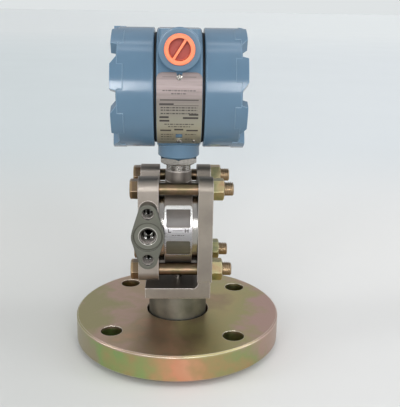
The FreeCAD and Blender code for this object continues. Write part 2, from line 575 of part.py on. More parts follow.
    def repeat(self, name, feature, axis, count, grows):
        """Copies a feature evenly round an axis of the body."""
        before = self.body.Shape.Volume
        pattern = self.body.newObject("PartDesign::PolarPattern", name)
        pattern.Originals = [feature]
        pattern.Axis = (self.origin(axis + "_Axis"), [""])
        bind(pattern, "Occurrences", count)
        self.body.Tip = pattern
        return self.settle(pattern, before, grows)

    def edges_near(self, places):
        """Names of the tip's edges that pass nearest to the places."""
        edges = self.body.Tip.Shape.Edges
        names = []
        for place in places:
            spot = Part.Vertex(*[value(text) for text in place])
            index = min(range(len(edges)), key=lambda i: edges[i].distToShape(spot)[0])
            names.append(f"Edge{index + 1}")
        return names

    def round_corners(self, name, size, across, radius, angles):
        """Rounds the corners of a sheet bent round X, at both sides and some angles above the front."""
        self.dress("Fillet", name, size, [(f"{side} * {across}", f"-{radius} * cos({angle})",
                                           f"{radius} * sin({angle})")
                                          for side in (1, -1) for angle in angles])

    def dress(self, kind, name, size, places):
        """A Fillet or Chamfer on the edges nearest to the places."""
        base, names = self.body.Tip, self.edges_near(places)
        before = self.body.Shape.Volume
        feature = self.body.newObject("PartDesign::" + kind, name)
        feature.Base = (base, names)
        bind(feature, "Radius" if kind == "Fillet" else "Size", size)
        doc.recompute()
        if {"Invalid", "Error"} & set(feature.State) or self.body.Shape.Volume == before:
            raise RuntimeError(f"{self.body.Label}: {name} did nothing")
        return feature


def hexagon(flats, across="0", up="0", point_up=False):
    """Corners of a hexagon, with a point to each side or a point up and down."""
    wide = f"{flats} / sqrt(3)"
    corners = []
    for step in range(6):
        angle = 60 * step + (30 if point_up else 0)
        corners.append((f"{across} + {wide} * cos({angle})", f"{up} + {wide} * sin({angle})"))
    return corners


def box(left, low, right, high, radius=None):
    corners = [(left, low), (right, low), (right, high), (left, high)]
    return [corner + (radius,) for corner in corners] if radius else corners


def group(label, master, places):
    """Separate copies of one body under one name."""
    links = []
    for number, at in enumerate(places, start=1):
        link = doc.addObject("App::Link", f"{label}_{number}")
        link.LinkedObject = master
        put(link, at)
        links.append(link)
    compound = doc.addObject("Part::Compound", label)
    compound.Label = label
    compound.Links = links
    doc.recompute()
    return compound


# Heights and places that several pieces share.
FLANGE_LOW = "face_thickness + flange_clearance"
BOLT_ROWS = [f"{row} * bolt_up / 2" for row in (1, -1)]
BOLT_LINES = [f"{line} * bolt_across / 2" for line in (1, -1)]
BOLTS = [(line, row) for row in BOLT_ROWS for line in BOLT_LINES]
MODULE_AXIS = ("0", "0", "module_height")
HOUSING_AXIS = ("0", "0", "housing_height")
MODULE_FACE = "module_width / 2"
HIGH_OUTSIDE = f"{MODULE_FACE} + high_plate"
LOW_OUTSIDE = f"{MODULE_FACE} + low_plate"
PLATE_FRONT = "bolt_across / 2 + ear_radius"
PLATE_TOP = "bolt_up / 2 + ear_radius"
NECK_BORE = "neck_thread_radius + neck_fit"
NECK_RING = "housing_neck_bottom + neck_ring_rise"
CHAMBER_START = "bulkhead / 2"
COVER_RIM = "housing_width / 2 + cover_gap"
COVER_BORE = "spigot_radius + cover_clearance"
ADJUSTER_SEAT = "(housing_radius - adjuster_sink - adjuster_head)"
PLATE_INNER = "(housing_radius + plate_gap)"
PLATE_MIDDLE = f"({PLATE_INNER} + plate_thickness / 2)"
PLATE_OUTER = f"({PLATE_INNER} + plate_thickness)"
FIRST_BOARD = f"{CHAMBER_START} + calibration_gap"
SECOND_BOARD = f"{FIRST_BOARD} + board_thickness + amplifier_gap"
BOARD_TOP = f"{SECOND_BOARD} + board_thickness"
BEYOND = 5.0  # how far outside a piece a cut starts, mm
CROWN, SIDE = 0.6, 0.5  # pan heads: flat crown and straight side, as shares of the radius and height


def mounting_flange():
    """Loose steel flange that turns round the seal neck and clamps the gasket disc."""
    piece = Piece("mounting_flange", ("0", "0", FLANGE_LOW))
    rim, top, edge = half("flange_diameter"), "flange_thickness", "flange_chamfer"
    piece.turn("ring", "XZ", [
        ("flange_bore_radius", f"{edge} / 2"), (f"flange_bore_radius + {edge} / 2", "0"),
        (f"{rim} - {edge}", "0"), (rim, edge),
        (rim, f"{top} - {edge}"), (f"{rim} - {edge}", top),
        (f"flange_bore_radius + {edge} / 2", top), ("flange_bore_radius", f"{top} - {edge} / 2"),
    ], "up")
    place = (f"{half('flange_circle')} * cos(flange_turn)", f"{half('flange_circle')} * sin(flange_turn)")
    hole = piece.cut("bolt_hole", "XY", ("circles", (*place, "flange_hole_radius")), "0", top)
    piece.repeat("bolt_holes", hole, "Z", "flange_hole_count", False)
    return piece.body


def seal_body():
    """Gasket disc and neck turned from one bar, with the fill passage up its axis."""
    piece = Piece("seal_body")
    piece.turn("turned", "XZ", [
        ("0", "seal_recess_depth"), ("seal_recess_radius", "seal_recess_depth"),
        ("seal_recess_radius", "0"), ("face_radius - face_chamfer", "0"), ("face_radius", "face_chamfer"),
        ("face_radius", "face_thickness"), ("seal_neck_radius", "face_thickness"),
        ("seal_neck_radius", "seal_height"), ("0", "seal_height"),
    ], "up")
    piece.cut("fill_passage", "XY", ("circles", ("0", "0", "passage_radius")),
              "seal_recess_depth", "seal_height")
    return piece.body


def process_diaphragm():
    """Corrugated diaphragm, welded by its rim into the recess of the gasket face."""
    piece = Piece("process_diaphragm", ("0", "0", "seal_recess_depth - diaphragm_rim_height"))
    rim = "(seal_recess_radius - diaphragm_fit)"
    inner = f"({rim} - diaphragm_rim)"
    thick, rise = "diaphragm_thickness", "diaphragm_rim_height"
    lower, upper = [], []
    for number in range(1, 2 * int(value("diaphragm_waves"))):
        across = f"{inner} * {number} / (2 * diaphragm_waves)"
        level = "diaphragm_wave" if number % 2 else "0"
        lower.append((across, level, "diaphragm_bend"))
        upper.append((across, f"{level} + {thick}", "diaphragm_bend"))
    edge = [(inner, "0"), (rim, "0"), (rim, rise), (inner, rise), (inner, thick)]
    piece.turn("pressed", "XZ", [("0", "0"), *lower, *edge, *upper[::-1], ("0", thick)], "up")
    return piece.body


def isolating_diaphragm(label, side):
    """Thin diaphragm with a welded rim on one face of the sensor module."""
    piece = Piece(label, (f"{side} * ({MODULE_FACE} - isolator_recess)", "0", "module_height"))
    outer = f"{side} * isolator_recess"
    under = f"{side} * (isolator_recess - isolator_thickness)"
    rim, inner = "isolator_radius - diaphragm_fit", "isolator_radius - isolator_rim"
    piece.turn("sheet", "XZ", [("0", inner), ("0", rim), (outer, rim), (outer, "0"), (under, "0"),
                               (under, inner)], "across")
    return piece.body


def plate_outline(top_only):
    """Outline of a process flange across Y and Z: rounded ears at the bolts and dips between them."""
    inner = f"{PLATE_FRONT} - ear_width"
    dip = f"{inner} - ear_slope"
    low_dip = f"{PLATE_TOP} - ear_dip"
    top = [
        (PLATE_FRONT, PLATE_TOP, "ear_radius"), (inner, PLATE_TOP, "dip_radius"),
        (dip, low_dip, "dip_radius"), (f"-({dip})", low_dip, "dip_radius"),
        (f"-({inner})", PLATE_TOP, "dip_radius"), (f"-({PLATE_FRONT})", PLATE_TOP, "ear_radius"),
    ]
    if top_only:
        bottom = "seal_height + foot_rise - module_height"
        return top + [(f"-({PLATE_FRONT})", bottom), (PLATE_FRONT, bottom)]
    return top + [(across, f"-({up})", radius) for across, up, radius in reversed(top)]


def bolt_circles():
    """The four bolt holes of a process flange."""
    return ("circles", *[(line, row, "bolt_hole_radius") for line, row in BOLTS])


def high_side_flange():
    """L-shaped process flange: the plate that clamps the sensor module and the foot on the seal."""
    piece = Piece("high_side_flange", MODULE_AXIS)
    piece.add("plate", "YZ", plate_outline(True), MODULE_FACE, HIGH_OUTSIDE)
    low = "seal_height - module_height"
    inside = f"{MODULE_FACE} + foot_inside"
    right = f"{HIGH_OUTSIDE} - foot_step"
    depth = f"{PLATE_FRONT} - foot_step"
    piece.add("foot", "XZ", [
        ("-foot_left", low), (right, low), (right, f"{low} + foot_rise"),
        (inside, f"{low} + foot_rise"), (inside, f"{low} + foot_thickness", "foot_fillet"),
        ("-foot_left", f"{low} + foot_thickness"),
    ], f"-({depth})", depth)
    piece.cut("bolt_holes", "YZ", bolt_circles(), MODULE_FACE, HIGH_OUTSIDE)
    piece.cut("pressure_chamber", "YZ", ("circles", ("0", "0", "isolator_radius")),
              MODULE_FACE, f"{MODULE_FACE} + chamber_depth")
    middle, foot_middle = f"{MODULE_FACE} + high_plate / 2", f"{low} + foot_thickness / 2"
    passage = ("circles", ("0", "0", "passage_radius"))
    piece.cut("rising_passage", "XY", ("circles", (middle, "0", "passage_radius")), foot_middle, "0")
    piece.cut("chamber_passage", "YZ", passage, MODULE_FACE, middle)
    piece.cut("foot_passage", "YZ", ("circles", ("0", foot_middle, "passage_radius")), "0", middle)
    piece.cut("seal_passage", "XY", passage, low, foot_middle)
    return piece.body


def fill_plug():
    """Short round plug with a hexagon socket, on top of the foot."""
    piece = Piece("fill_plug", ("0", "-foot_plug_front", "seal_height + foot_thickness"))
    rim, top, edge = "foot_plug_radius", "foot_plug_height", "foot_plug_chamfer"
    piece.turn("turned", "XZ", [("0", "0"), (rim, "0"), (rim, f"{top} - {edge}"), (f"{rim} - {edge}", top),
                                ("0", top)], "up")
    piece.cut("hex_socket", "XY", hexagon("foot_plug_socket"), f"{top} - foot_plug_socket_depth", top)
    return piece.body


def port_boss(middle_radius):
    """Outline of the port boss: a rhombus whose corners are rounded to the two end bosses."""
    slope = f"(({middle_radius} - port_end_radius) / (port_spacing / 2))"
    tip = f"{middle_radius} / {slope}"
    side = f"{middle_radius} / sqrt(1 - {slope} ^ 2)"
    centre = f"-({MODULE_FACE} + low_plate / 2)"
    return [
        (centre, f"-({tip})", "port_end_radius"), (f"{centre} + {side}", "0", middle_radius),
        (centre, tip, "port_end_radius"), (f"{centre} - {side}", "0", middle_radius),
    ]


def low_side_flange():
    """Process flange of the low side, with the port boss in front and the vent at the back."""
    piece = Piece("low_side_flange", MODULE_AXIS)
    outside, inside = f"-({LOW_OUTSIDE})", f"-({MODULE_FACE})"
    centre = f"-({MODULE_FACE} + low_plate / 2)"
    piece.add("plate", "YZ", plate_outline(False), outside, inside)
    front, back = "-port_face", "-(module_radius + module_clearance)"
    piece.add("boss", "XZ", port_boss("port_boss_radius"), front, back)
    piece.loft("boss_root", "XZ", (back, port_boss("port_boss_radius")),
               (f"-({PLATE_FRONT} - port_root)", port_boss("port_back_radius")))
    piece.cut("module_way", "YZ", ("circles", ("0", "0", "module_radius + module_clearance")), inside, "0")
    piece.cut("bolt_holes", "YZ", bolt_circles(), outside, inside)
    piece.cut("spot_face", "XZ", ("circles", (centre, "0", "port_spot_radius")),
              front, f"{front} + port_spot_depth")
    piece.cut("port", "XZ", ("circles", (centre, "0", "port_radius")), front, f"{front} + port_depth")
    piece.cut("adapter_holes", "XZ", ("circles", *[(centre, f"{end} * port_spacing / 2", "adapter_radius")
                                                   for end in (1, -1)]), front, f"{front} + adapter_depth")
    piece.cut("port_drilling", "XZ", ("circles", (centre, "0", "port_drill_radius")),
              f"{front} + port_depth", PLATE_FRONT)
    piece.cut("vent_hole", "XZ", ("circles", (centre, "0", "port_radius")),
              f"{PLATE_FRONT} - vent_shank - vent_hole_gap", PLATE_FRONT)
    piece.cut("pressure_chamber", "YZ", ("circles", ("0", "0", "isolator_radius")),
              f"{inside} - chamber_depth", inside)
    piece.cut("chamber_drilling", "YZ", ("circles", ("0", "0", "port_drill_radius")), centre, inside)
    return piece.body


def hex_piece(label, flats, chamfer, low, high, bore=None, shank=None):
    """A hexagon along X with its outer corners turned off, and a bore or a shank on its inner side."""
    piece = Piece(label)
    piece.add("hexagon", "YZ", hexagon(flats), low, high)
    across = f"{flats} / sqrt(3)"
    face, inner = (low, f"{low} + {chamfer}") if shank else (high, f"{high} - {chamfer}")
    piece.groove("corner_chamfer", "XZ", [
        (face, f"{across} - 2 * {chamfer}"), (face, f"{across} + {BEYOND}"),
        (inner, f"{across} + {BEYOND}"), (inner, across),
    ], "across")
    if bore:
        piece.cut("bore", "YZ", ("circles", ("0", "0", bore)), low, high)
    if shank:
        radius, start, end = shank
        piece.turn("shank", "XZ", [(start, "0"), (start, radius), (f"{end} - bolt_point", radius),
                                   (end, f"{radius} - bolt_point"), (end, "0")], "across")
    return piece.body


def flange_bolting():
    """Four bolts through both process flanges, with a nut on each."""
    low = f"-({LOW_OUTSIDE})"
    bolt = hex_piece("bolt_pattern_piece", "head_flats", "head_chamfer", f"{low} - head_height", low,
                     shank=("bolt_radius", low, f"{low} + bolt_length"))
    nut = hex_piece("nut_pattern_piece", "nut_flats", "nut_chamfer", HIGH_OUTSIDE,
                    f"{HIGH_OUTSIDE} + nut_height", bore="bolt_radius + nut_fit")
    places = [("0", line, f"module_height + {row}") for line, row in BOLTS]
    return [group("flange_bolts", bolt, places), group("flange_nuts", nut, places)]


def sensor_module():
    """Welded sensor module: a disc across X, its O-ring grooves, the cell's bore and the neck."""
    piece = Piece("sensor_module", MODULE_AXIS)
    face, middle = MODULE_FACE, half("module_middle")
    piece.turn("disc", "XZ", [
        (f"-({face})", "0"), (f"-({face})", "module_step_radius"), (f"-({middle})", "module_step_radius"),
        (f"-({middle})", "module_radius"), (middle, "module_radius"), (middle, "module_step_radius"),
        (face, "module_step_radius"), (face, "0"),
    ], "across")
    shoulder, top = "neck_length", "neck_length + neck_thread_length"
    piece.add("neck", "XY", ("circles", ("0", "0", "neck_radius")), "module_step_radius - neck_root",
              shoulder)
    piece.add("neck_thread", "XY", ("circles", ("0", "0", "neck_thread_radius")), shoulder, top)
    floor, reach = "cell_radius + neck_bore_floor", "cell_half_width + sensing_thickness / 2"
    piece.cut("neck_bore", "XY", ("circles", ("0", "0", "neck_bore_radius")), floor, top)
    piece.cut("cell_bore", "YZ", ("circles", ("0", "0", "cell_radius + cell_clearance")),
              f"-({reach})", reach)
    passage = ("circles", ("0", "0", "passage_radius"))
    piece.cut("lead_hole", "XY", passage, "0", floor)
    for side in (1, -1):
        outer, inner = f"{side} * ({face})", f"{side} * ({face} - isolator_recess)"
        groove, cell = f"{side} * ({face} - o_ring_depth)", f"{side} * ({reach})"
        piece.cut("isolator_recess", "YZ", ("circles", ("0", "0", "isolator_radius")),
                  *(inner, outer)[::side])
        piece.cut("fill_passage", "YZ", passage, *(cell, inner)[::side])
        half_width = "o_ring_width / 2 + o_ring_clearance"
        piece.groove("ring_groove", "XZ", box(groove, f"o_ring_radius - ({half_width})", outer,
                                              f"o_ring_radius + {half_width}"), "across")
    inner, level = "neck_thread_radius - neck_ring_depth", f"{NECK_RING} - module_height"
    piece.groove("neck_ring_groove", "XZ", box(inner, level, f"neck_thread_radius + {BEYOND}",
                                               f"{level} + neck_ring_width"), "up")
    return piece.body


def measuring_cell():
    """Two dished halves that clamp the sensing diaphragm between them."""
    bodies = []
    for side, label in ((1, "high_cell_half"), (-1, "low_cell_half")):
        piece = Piece(label, MODULE_AXIS)
        near, far = f"{side} * sensing_thickness / 2", f"{side} * (cell_half_width + sensing_thickness / 2)"
        dish = f"{side} * (sensing_thickness / 2 + cell_dish)"
        piece.turn("half", "XZ", [
            (dish, "cell_port_radius"), (dish, "cell_dish_floor"), (near, "cell_dish_rim"),
            (near, "cell_radius"), (far, "cell_radius"), (far, "cell_port_radius"),
        ], "across")
        bodies.append(piece.body)
    piece = Piece("sensing_diaphragm", MODULE_AXIS)
    piece.add("sheet", "YZ", ("circles", ("0", "0", "cell_radius")),
              "-sensing_thickness / 2", "sensing_thickness / 2")
    return bodies + [piece.body]


def process_o_ring(label, side):
    """Squeezed O-ring between the module's face and its process flange."""
    piece = Piece(label, MODULE_AXIS)
    outer, inner = f"{side} * ({MODULE_FACE})", f"{side} * ({MODULE_FACE} - o_ring_depth)"
    piece.turn("ring", "XZ", box(inner, "o_ring_radius - o_ring_width / 2", outer,
                                 "o_ring_radius + o_ring_width / 2", "o_ring_corner"), "across")
    return piece.body


def neck_o_ring():
    """Weather seal in the groove of the sensor neck."""
    piece = Piece("neck_o_ring")
    gap, edge = "o_ring_clearance", "neck_thread_radius"
    piece.turn("ring", "XZ", box(f"{edge} - neck_ring_depth + {gap}", f"{NECK_RING} + {gap}",
                                 f"{edge} + neck_fit / 2", f"{NECK_RING} + neck_ring_width - {gap}",
                                 "neck_ring_corner"), "up")
    return piece.body


def sensor_header():
    """Glass-sealed header with its pins, on top of the sensor neck."""
    piece = Piece("sensor_header", ("0", "0", "neck_top"))
    top = "header_thickness"
    piece.add("disc", "XY", ("circles", ("0", "0", "neck_thread_radius - header_inset")), "0", top)
    pin = piece.add("pin", "XY", ("circles", ("header_pin_circle", "0", "header_pin_radius")), top,
                    f"{top} + header_pin_length")
    piece.repeat("pins", pin, "Z", "header_pin_count", True)
    return piece.body


def sensor_tag():
    """Sheet tag wrapped round the front of the sensor module, with two windows."""
    piece = Piece("sensor_tag", MODULE_AXIS)
    inner = "module_radius + tag_gap"
    outer = f"{inner} + tag_thickness"
    across = half("module_middle")
    piece.add("wrap", "YZ", ("band", inner, outer, f"{FRONT} - tag_rise", f"{FRONT} + tag_drop"),
              f"-{across}", across)
    window = half("tag_window_width")
    for name, low, high in (("upper_window", "upper_window_low", "upper_window_high"),
                            ("lower_window", "-lower_window_low", "-lower_window_high")):
        piece.cut(name, "XZ", box(f"-{window}", low, window, high, "tag_window_corner"),
                  f"-(module_radius + {BEYOND})", "-module_radius / 2")
    piece.round_corners("corners", "tag_corner", across, f"({inner} + tag_thickness / 2)",
                        ("tag_rise", "(-tag_drop)"))
    return piece.body


def lock_nut():
    """Thin hexagon nut that locks the housing on the neck thread, tapered below."""
    piece = Piece("lock_nut", ("0", "0", "lock_nut_bottom"))
    top, across = "lock_nut_thickness", "lock_nut_flats / sqrt(3)"
    piece.add("hexagon", "XY", hexagon("lock_nut_flats", point_up=True), "0", top)
    for name, width, low, high in (("taper", "lock_nut_taper", "0", "lock_nut_chamfer"),
                                   ("edge", "lock_nut_edge_width", top, f"{top} - lock_nut_edge")):
        piece.groove(name, "XZ", [(f"{across} - {width}", low), (f"{across} + {BEYOND}", low),
                                  (f"{across} + {BEYOND}", high), (across, high)], "up")
    piece.cut("bore", "XY", ("circles", ("0", "0", NECK_BORE)), "0", top)
    return piece.body


def vent_valve():
    """Vent and drain valve at the back of the low side flange: a hexagon seat and its stem."""
    at = (f"-({MODULE_FACE} + low_plate / 2)", PLATE_FRONT, "module_height")
    seat = Piece("vent_valve_seat", at)
    floor = "-vent_shank + vent_seat_wall"
    seat.add("hexagon", "XZ", hexagon("vent_flats", point_up=True), "0", "vent_height")
    seat.add("shank", "XZ", ("circles", ("0", "0", "port_radius - vent_fit")), "-vent_shank", "0")
    seat.cut("bore", "XZ", ("circles", ("0", "0", "vent_bore_radius")), floor, "vent_height")
    seat.cut("outlet", "XZ", ("circles", ("0", "0", "vent_bore_radius / 2")), "-vent_shank", floor)
    stem = Piece("vent_valve_stem", at)
    rod, tip, neck = "vent_bore_radius - stem_fit", f"{floor} + stem_gap", "vent_height + stem_neck"
    stem.turn("rod", "YZ", [(tip, "0"), (f"{tip} + {rod}", rod), (neck, rod), (neck, "0")], "across")
    stem.add("hexagon", "XZ", hexagon("stem_flats"), neck, f"{neck} + stem_height")
    stem.cut("vent_way", "XZ", ("circles", ("0", "0", "stem_way_radius")), "vent_height - stem_way_depth",
             f"{neck} + stem_height")
    return [seat.body, stem.body]


def housing():
    """Cast two-chamber housing: round middle, threaded ends, conduit bosses and the neck."""
    piece = Piece("housing", HOUSING_AXIS)
    rim, side, edge = "housing_radius", half("housing_width"), "housing_chamfer"
    half_profile = [
        (CHAMBER_START, "0"), (CHAMBER_START, "chamber_radius"), ("spigot_end", "chamber_radius"),
        ("spigot_end", "spigot_radius"), (side, "spigot_radius"), (side, f"{rim} - {edge}"),
        (f"{side} - {edge}", rim),
    ]
    other_half = [(f"-({across})", up) for across, up in reversed(half_profile)]
    piece.turn("barrel", "XZ", half_profile + other_half, "across")
    conduit_bosses(piece)
    low, root = "housing_neck_bottom - housing_height", "-(chamber_radius + spigot_radius) / 2"
    piece.turn("neck", "XZ", [
        ("0", low), ("housing_neck_radius - housing_neck_chamfer", low),
        ("housing_neck_radius", f"{low} + housing_neck_chamfer"), ("housing_neck_radius", root), ("0", root),
    ], "up")
    for end in (1, -1):
        piece.cut("chamber", "YZ", ("circles", ("0", "0", "chamber_radius")),
                  *(f"{end} * {CHAMBER_START}", f"{end} * spigot_end")[::end])
    top = "housing_neck_bore_top - housing_height"
    piece.cut("neck_bore", "XY", ("circles", ("0", "0", NECK_BORE)), low, top)
    piece.cut("lead_way", "XY", ("circles", ("lead_hole_side", "0", "lead_hole_radius")), top,
              "-chamber_radius / 2")
    for name, end in (("rear", 1), ("front", -1)):
        face, floor = f"{end} * boss_face", f"{end} * (boss_face - conduit_depth)"
        piece.cut(name + "_conduit_entry", "XZ", ("circles", ("0", "boss_rise", "conduit_radius")),
                  *(floor, face)[::end])
        hole = ("-lead_hole_side", "boss_rise - wire_hole_drop", "wire_hole_radius")
        piece.cut(name + "_wire_hole", "XZ", ("circles", hole), *("0", floor)[::end])
    seat = f"-({ADJUSTER_SEAT})"
    for name, level in (("zero", "adjuster_rise"), ("span", "-adjuster_rise")):
        pocket, hole = [("circles", ("adjuster_side", level, f"{radius} + adjuster_fit"))
                        for radius in ("adjuster_radius", "adjuster_shank")]
        piece.cut(name + "_pocket", "XZ", pocket, f"-(housing_radius + {BEYOND})", seat)
        piece.cut(name + "_hole", "XZ", hole, seat, "-adjuster_reach")
    for across, angle, shank, depth in PLATE_HOLES:
        drill_front(piece, across, angle, f"{shank} + plate_screw_fit", depth)
    return piece.body


def conduit_bosses(piece):
    """Round bosses for the conduit entries; the front one grows out of a flat-topped shoulder."""
    piece.add("rear_boss", "XZ", ("circles", ("0", "boss_rise", "rear_boss_radius")), "0", "boss_face")
    wide, top = half("shoulder_width"), "housing_radius + shoulder_proud"
    front = "-(boss_face - shoulder_back)"
    piece.add("shoulder", "XZ", [
        (f"-{wide}", top), (f"-{wide}", f"boss_rise - {wide}", "shoulder_round"),
        (wide, f"boss_rise - {wide}", "shoulder_round"), (wide, top),
    ], front, "0")
    piece.dress("Fillet", "shoulder_edge_round", "shoulder_edge", [(f"-{wide}", front, f"({top}) - 1")])
    piece.add("front_boss", "XZ", ("circles", ("0", "boss_rise", "boss_radius")), "-boss_face",
              f"{front} + shoulder_edge")
    piece.dress("Fillet", "boss_edge_round", "boss_edge", [("-boss_radius", "-boss_face", "boss_rise")])


# Holes for the nameplate's fasteners: to the right, above the axis in degrees, shank, depth.
PLATE_HOLES = [
    ("0", "upper_screw_angle", "plate_screw_shank", "plate_screw_depth"),
    ("0", "-lower_screw_angle", "plate_screw_shank", "plate_screw_depth"),
    ("rivet_side", "-lower_screw_angle", "rivet_shank", "rivet_depth"),
]


def drill_front(piece, across, angle, radius, depth):
    """A hole square to the round front of the housing, at an angle above the axis."""
    reach, end = f"housing_radius - {depth}", f"housing_radius + {BEYOND}"
    spot = radial(angle)
    line = piece.sketch("hole_sketch", "YZ", across)
    piece.outline(line, [spot(reach, "0"), spot(end, "0"), spot(end, radius), spot(reach, radius)])
    doc.recompute()
    feature, before = piece.feature("Groove", "front_hole", line)
    feature.ReferenceAxis = (line, ["Edge1"])
    return piece.settle(feature, before, False)


def radial(angle):
    """Turns (distance from the axis, distance off the radius) into a place across Y and Z in front."""
    sine, cosine = f"sin({angle})", f"cos({angle})"

    def spot(reach, off):
        return (f"({off}) * {sine} - ({reach}) * {cosine}", f"({reach}) * {sine} + ({off}) * {cosine}")

    return spot


def cover(label, side, turn):
    """Screwed cover: a deep cup whose wrench lugs run on into short pads along its side."""
    piece = Piece(label, HOUSING_AXIS)
    piece.lean(f"-{turn}")
    rim, bore, face, edge = "(cover_radius - lug_proud)", COVER_BORE, "cover_face", "cover_chamfer"
    piece.turn("cup", "XZ", [
        (f"{side} * ({across})", up) for across, up in [
            (COVER_RIM, bore), (COVER_RIM, f"{rim} - {edge}"), (f"{COVER_RIM} + {edge}", rim),
            (f"{face} - {edge}", rim), (face, f"{rim} - {edge}"), (face, "0"),
            (f"{face} - cover_floor", "0"), (f"{face} - cover_floor", bore),
        ]], "across")
    back, foot, top, flat = f"{face} - lug_pad", f"{face} - {edge}", f"{face} + lug_height", half("lug_width")
    lug = piece.add("lug", "XZ", [
        (f"{side} * ({across})", f"{-side} * ({up})") for across, up in [
            (back, f"-{flat}"), (back, flat), (foot, flat), (foot, f"{flat} + lug_ramp"), (top, flat),
            (top, f"-{flat}"), (foot, f"-{flat} - lug_side"), (foot, f"-{flat}"),
        ]], f"-(cover_radius + {BEYOND})", "-lug_inner_radius")
    piece.repeat("lugs", lug, "X", "lug_count", True)
    piece.groove("lug_trim", "XZ", box(f"{side} * ({back} - {BEYOND})", "cover_radius",
                                       f"{side} * ({top} + {BEYOND})", "cover_radius * 1.3"), "across")
    return piece.body


def cover_o_ring(label, side):
    """O-ring in the gap between the housing and a cover."""
    piece = Piece(label, HOUSING_AXIS)
    middle = f"{side} * (housing_width / 2 + cover_gap / 2)"
    piece.turn("ring", "XZ", ("circles", (middle, "cover_ring_radius", half("cover_ring_section"))), "across")
    return piece.body


def conduit_plug():
    """Moulded thread protector in the front conduit entry, with a web to turn it by."""
    piece = Piece("conduit_plug", ("0", "-boss_face", "housing_height + boss_rise"))
    head = "plug_head"
    piece.add("shank", "XZ", ("circles", ("0", "0", "conduit_radius - plug_fit")), "0", "plug_shank_length")
    piece.add("head", "XZ", ("circles", ("0", "0", "plug_radius")), f"-{head}", "0")
    piece.dress("Fillet", "soft_edge", "plug_edge", [("0", f"-{head}", "plug_radius")])
    piece.cut("cup", "XZ", ("circles", ("0", "0", "plug_cup_radius")), f"-{head}", f"plug_cup_depth - {head}")
    wide, thick = "(plug_cup_radius + plug_root)", "plug_web / 2"
    sine, cosine = "sin(plug_web_turn)", "cos(plug_web_turn)"
    corners = [(f"{a} * {wide} * {sine} + {b} * {thick} * {cosine}",
                f"{a} * {wide} * {cosine} - {b} * {thick} * {sine}")
               for a, b in ((-1, -1), (-1, 1), (1, 1), (1, -1))]
    piece.add("web", "XZ", corners, f"plug_web_drop - {head}", f"plug_cup_depth - {head} + plug_root")
    return piece.body


def nameplate():
    """Sheet nameplate, bent round the front of the housing over the adjustment screws."""
    piece = Piece("nameplate", HOUSING_AXIS)
    across = half("plate_width")
    piece.add("sheet", "YZ", ("band", PLATE_INNER, PLATE_OUTER, f"{FRONT} - plate_rise",
                              f"{FRONT} + plate_drop"), f"-{across}", across)
    piece.round_corners("upper_corners", "plate_top_corner", across, PLATE_MIDDLE, ("plate_rise",))
    piece.round_corners("lower_corners", "plate_corner", across, PLATE_MIDDLE, ("(-plate_drop)",))
    hole, wide, window = "plate_screw_shank + plate_hole_fit", half("plate_notch"), half("plate_window_width")
    screw, top = f"{PLATE_OUTER} * sin(upper_screw_angle)", f"{PLATE_OUTER} * sin(plate_rise)"
    window_low, window_high = [f"-{PLATE_OUTER} * sin({angle})" for angle in ("plate_window_low",
                                                                               "plate_window_high")]
    openings = {
        "notch": [(f"-({hole})", screw), (hole, screw), (wide, top), (wide, f"{top} + {BEYOND}"),
                  (f"-{wide}", f"{top} + {BEYOND}"), (f"-{wide}", top)],
        "window": box(f"-{window}", window_low, window, window_high),
    }
    for name, shape in openings.items():
        piece.cut(name, "XZ", shape, f"-(housing_radius + {BEYOND})", "-housing_radius / 2")
    for side, angle, shank, _ in PLATE_HOLES:
        drill_front(piece, side, angle, f"{shank} + plate_hole_fit", "plate_thickness")
    return piece.body


def front_fastener(label, place, head_radius, head_height, slotted):
    """A pan head fastener square to the round front of the housing."""
    across, angle, shank, depth = place
    piece = Piece(label, HOUSING_AXIS)
    spot = radial(angle)
    tip, top = f"housing_radius - {depth} + plate_screw_gap", f"{PLATE_OUTER} + {head_height}"
    shoulder = f"{PLATE_OUTER} + {head_height} * {SIDE}"
    sketch = piece.sketch("profile_sketch", "YZ", across)
    piece.outline(sketch, [
        spot(tip, "0"), spot(top, "0"), spot(top, f"{head_radius} * {CROWN}"), spot(shoulder, head_radius),
        spot(PLATE_OUTER, head_radius), spot(PLATE_OUTER, shank), spot(tip, shank),
    ])
    doc.recompute()
    feature, before = piece.feature("Revolution", "turned", sketch)
    feature.ReferenceAxis = (sketch, ["Edge1"])
    piece.settle(feature, before, True)
    if slotted:
        slot = piece.sketch("slot_sketch", "YZ", f"{across} - plate_screw_slot / 2")
        wide, high = f"{head_radius} + {BEYOND}", f"{top} + {BEYOND}"
        piece.outline(slot, [spot(shoulder, f"-({wide})"), spot(high, f"-({wide})"), spot(high, wide),
                             spot(shoulder, wide)])
        doc.recompute()
        feature, before = piece.feature("Pocket", "slot", slot)
        bind(feature, "Length", "plate_screw_slot")
        feature.Reversed = True
        piece.settle(feature, before, False)
    return piece.body


def nameplate_fasteners():
    """Two screws and one rivet that hold the nameplate."""
    screw = ("plate_screw_radius", "plate_screw_head", True)
    return [front_fastener("upper_nameplate_screw", PLATE_HOLES[0], *screw),
            front_fastener("lower_nameplate_screw", PLATE_HOLES[1], *screw),
            front_fastener("nameplate_rivet", PLATE_HOLES[2], "rivet_radius", "rivet_head", False)]


def adjuster(label, level):
    """Slotted adjustment screw that reaches its potentiometer through the housing wall."""
    piece = Piece(label, ("adjuster_side", f"-({ADJUSTER_SEAT})", f"housing_height + {level}"))
    piece.add("head", "XZ", ("circles", ("0", "0", "adjuster_radius")), "-adjuster_head", "0")
    piece.add("shank", "XZ", ("circles", ("0", "0", "adjuster_shank")), "0",
              f"{ADJUSTER_SEAT} - adjuster_reach")
    wide, thick = "2 * adjuster_radius", "adjuster_slot / 2"
    piece.cut("slot", "XZ", box(f"-{wide}", f"-{thick}", wide, thick), "-adjuster_head",
              "adjuster_slot_depth - adjuster_head")
    return piece.body


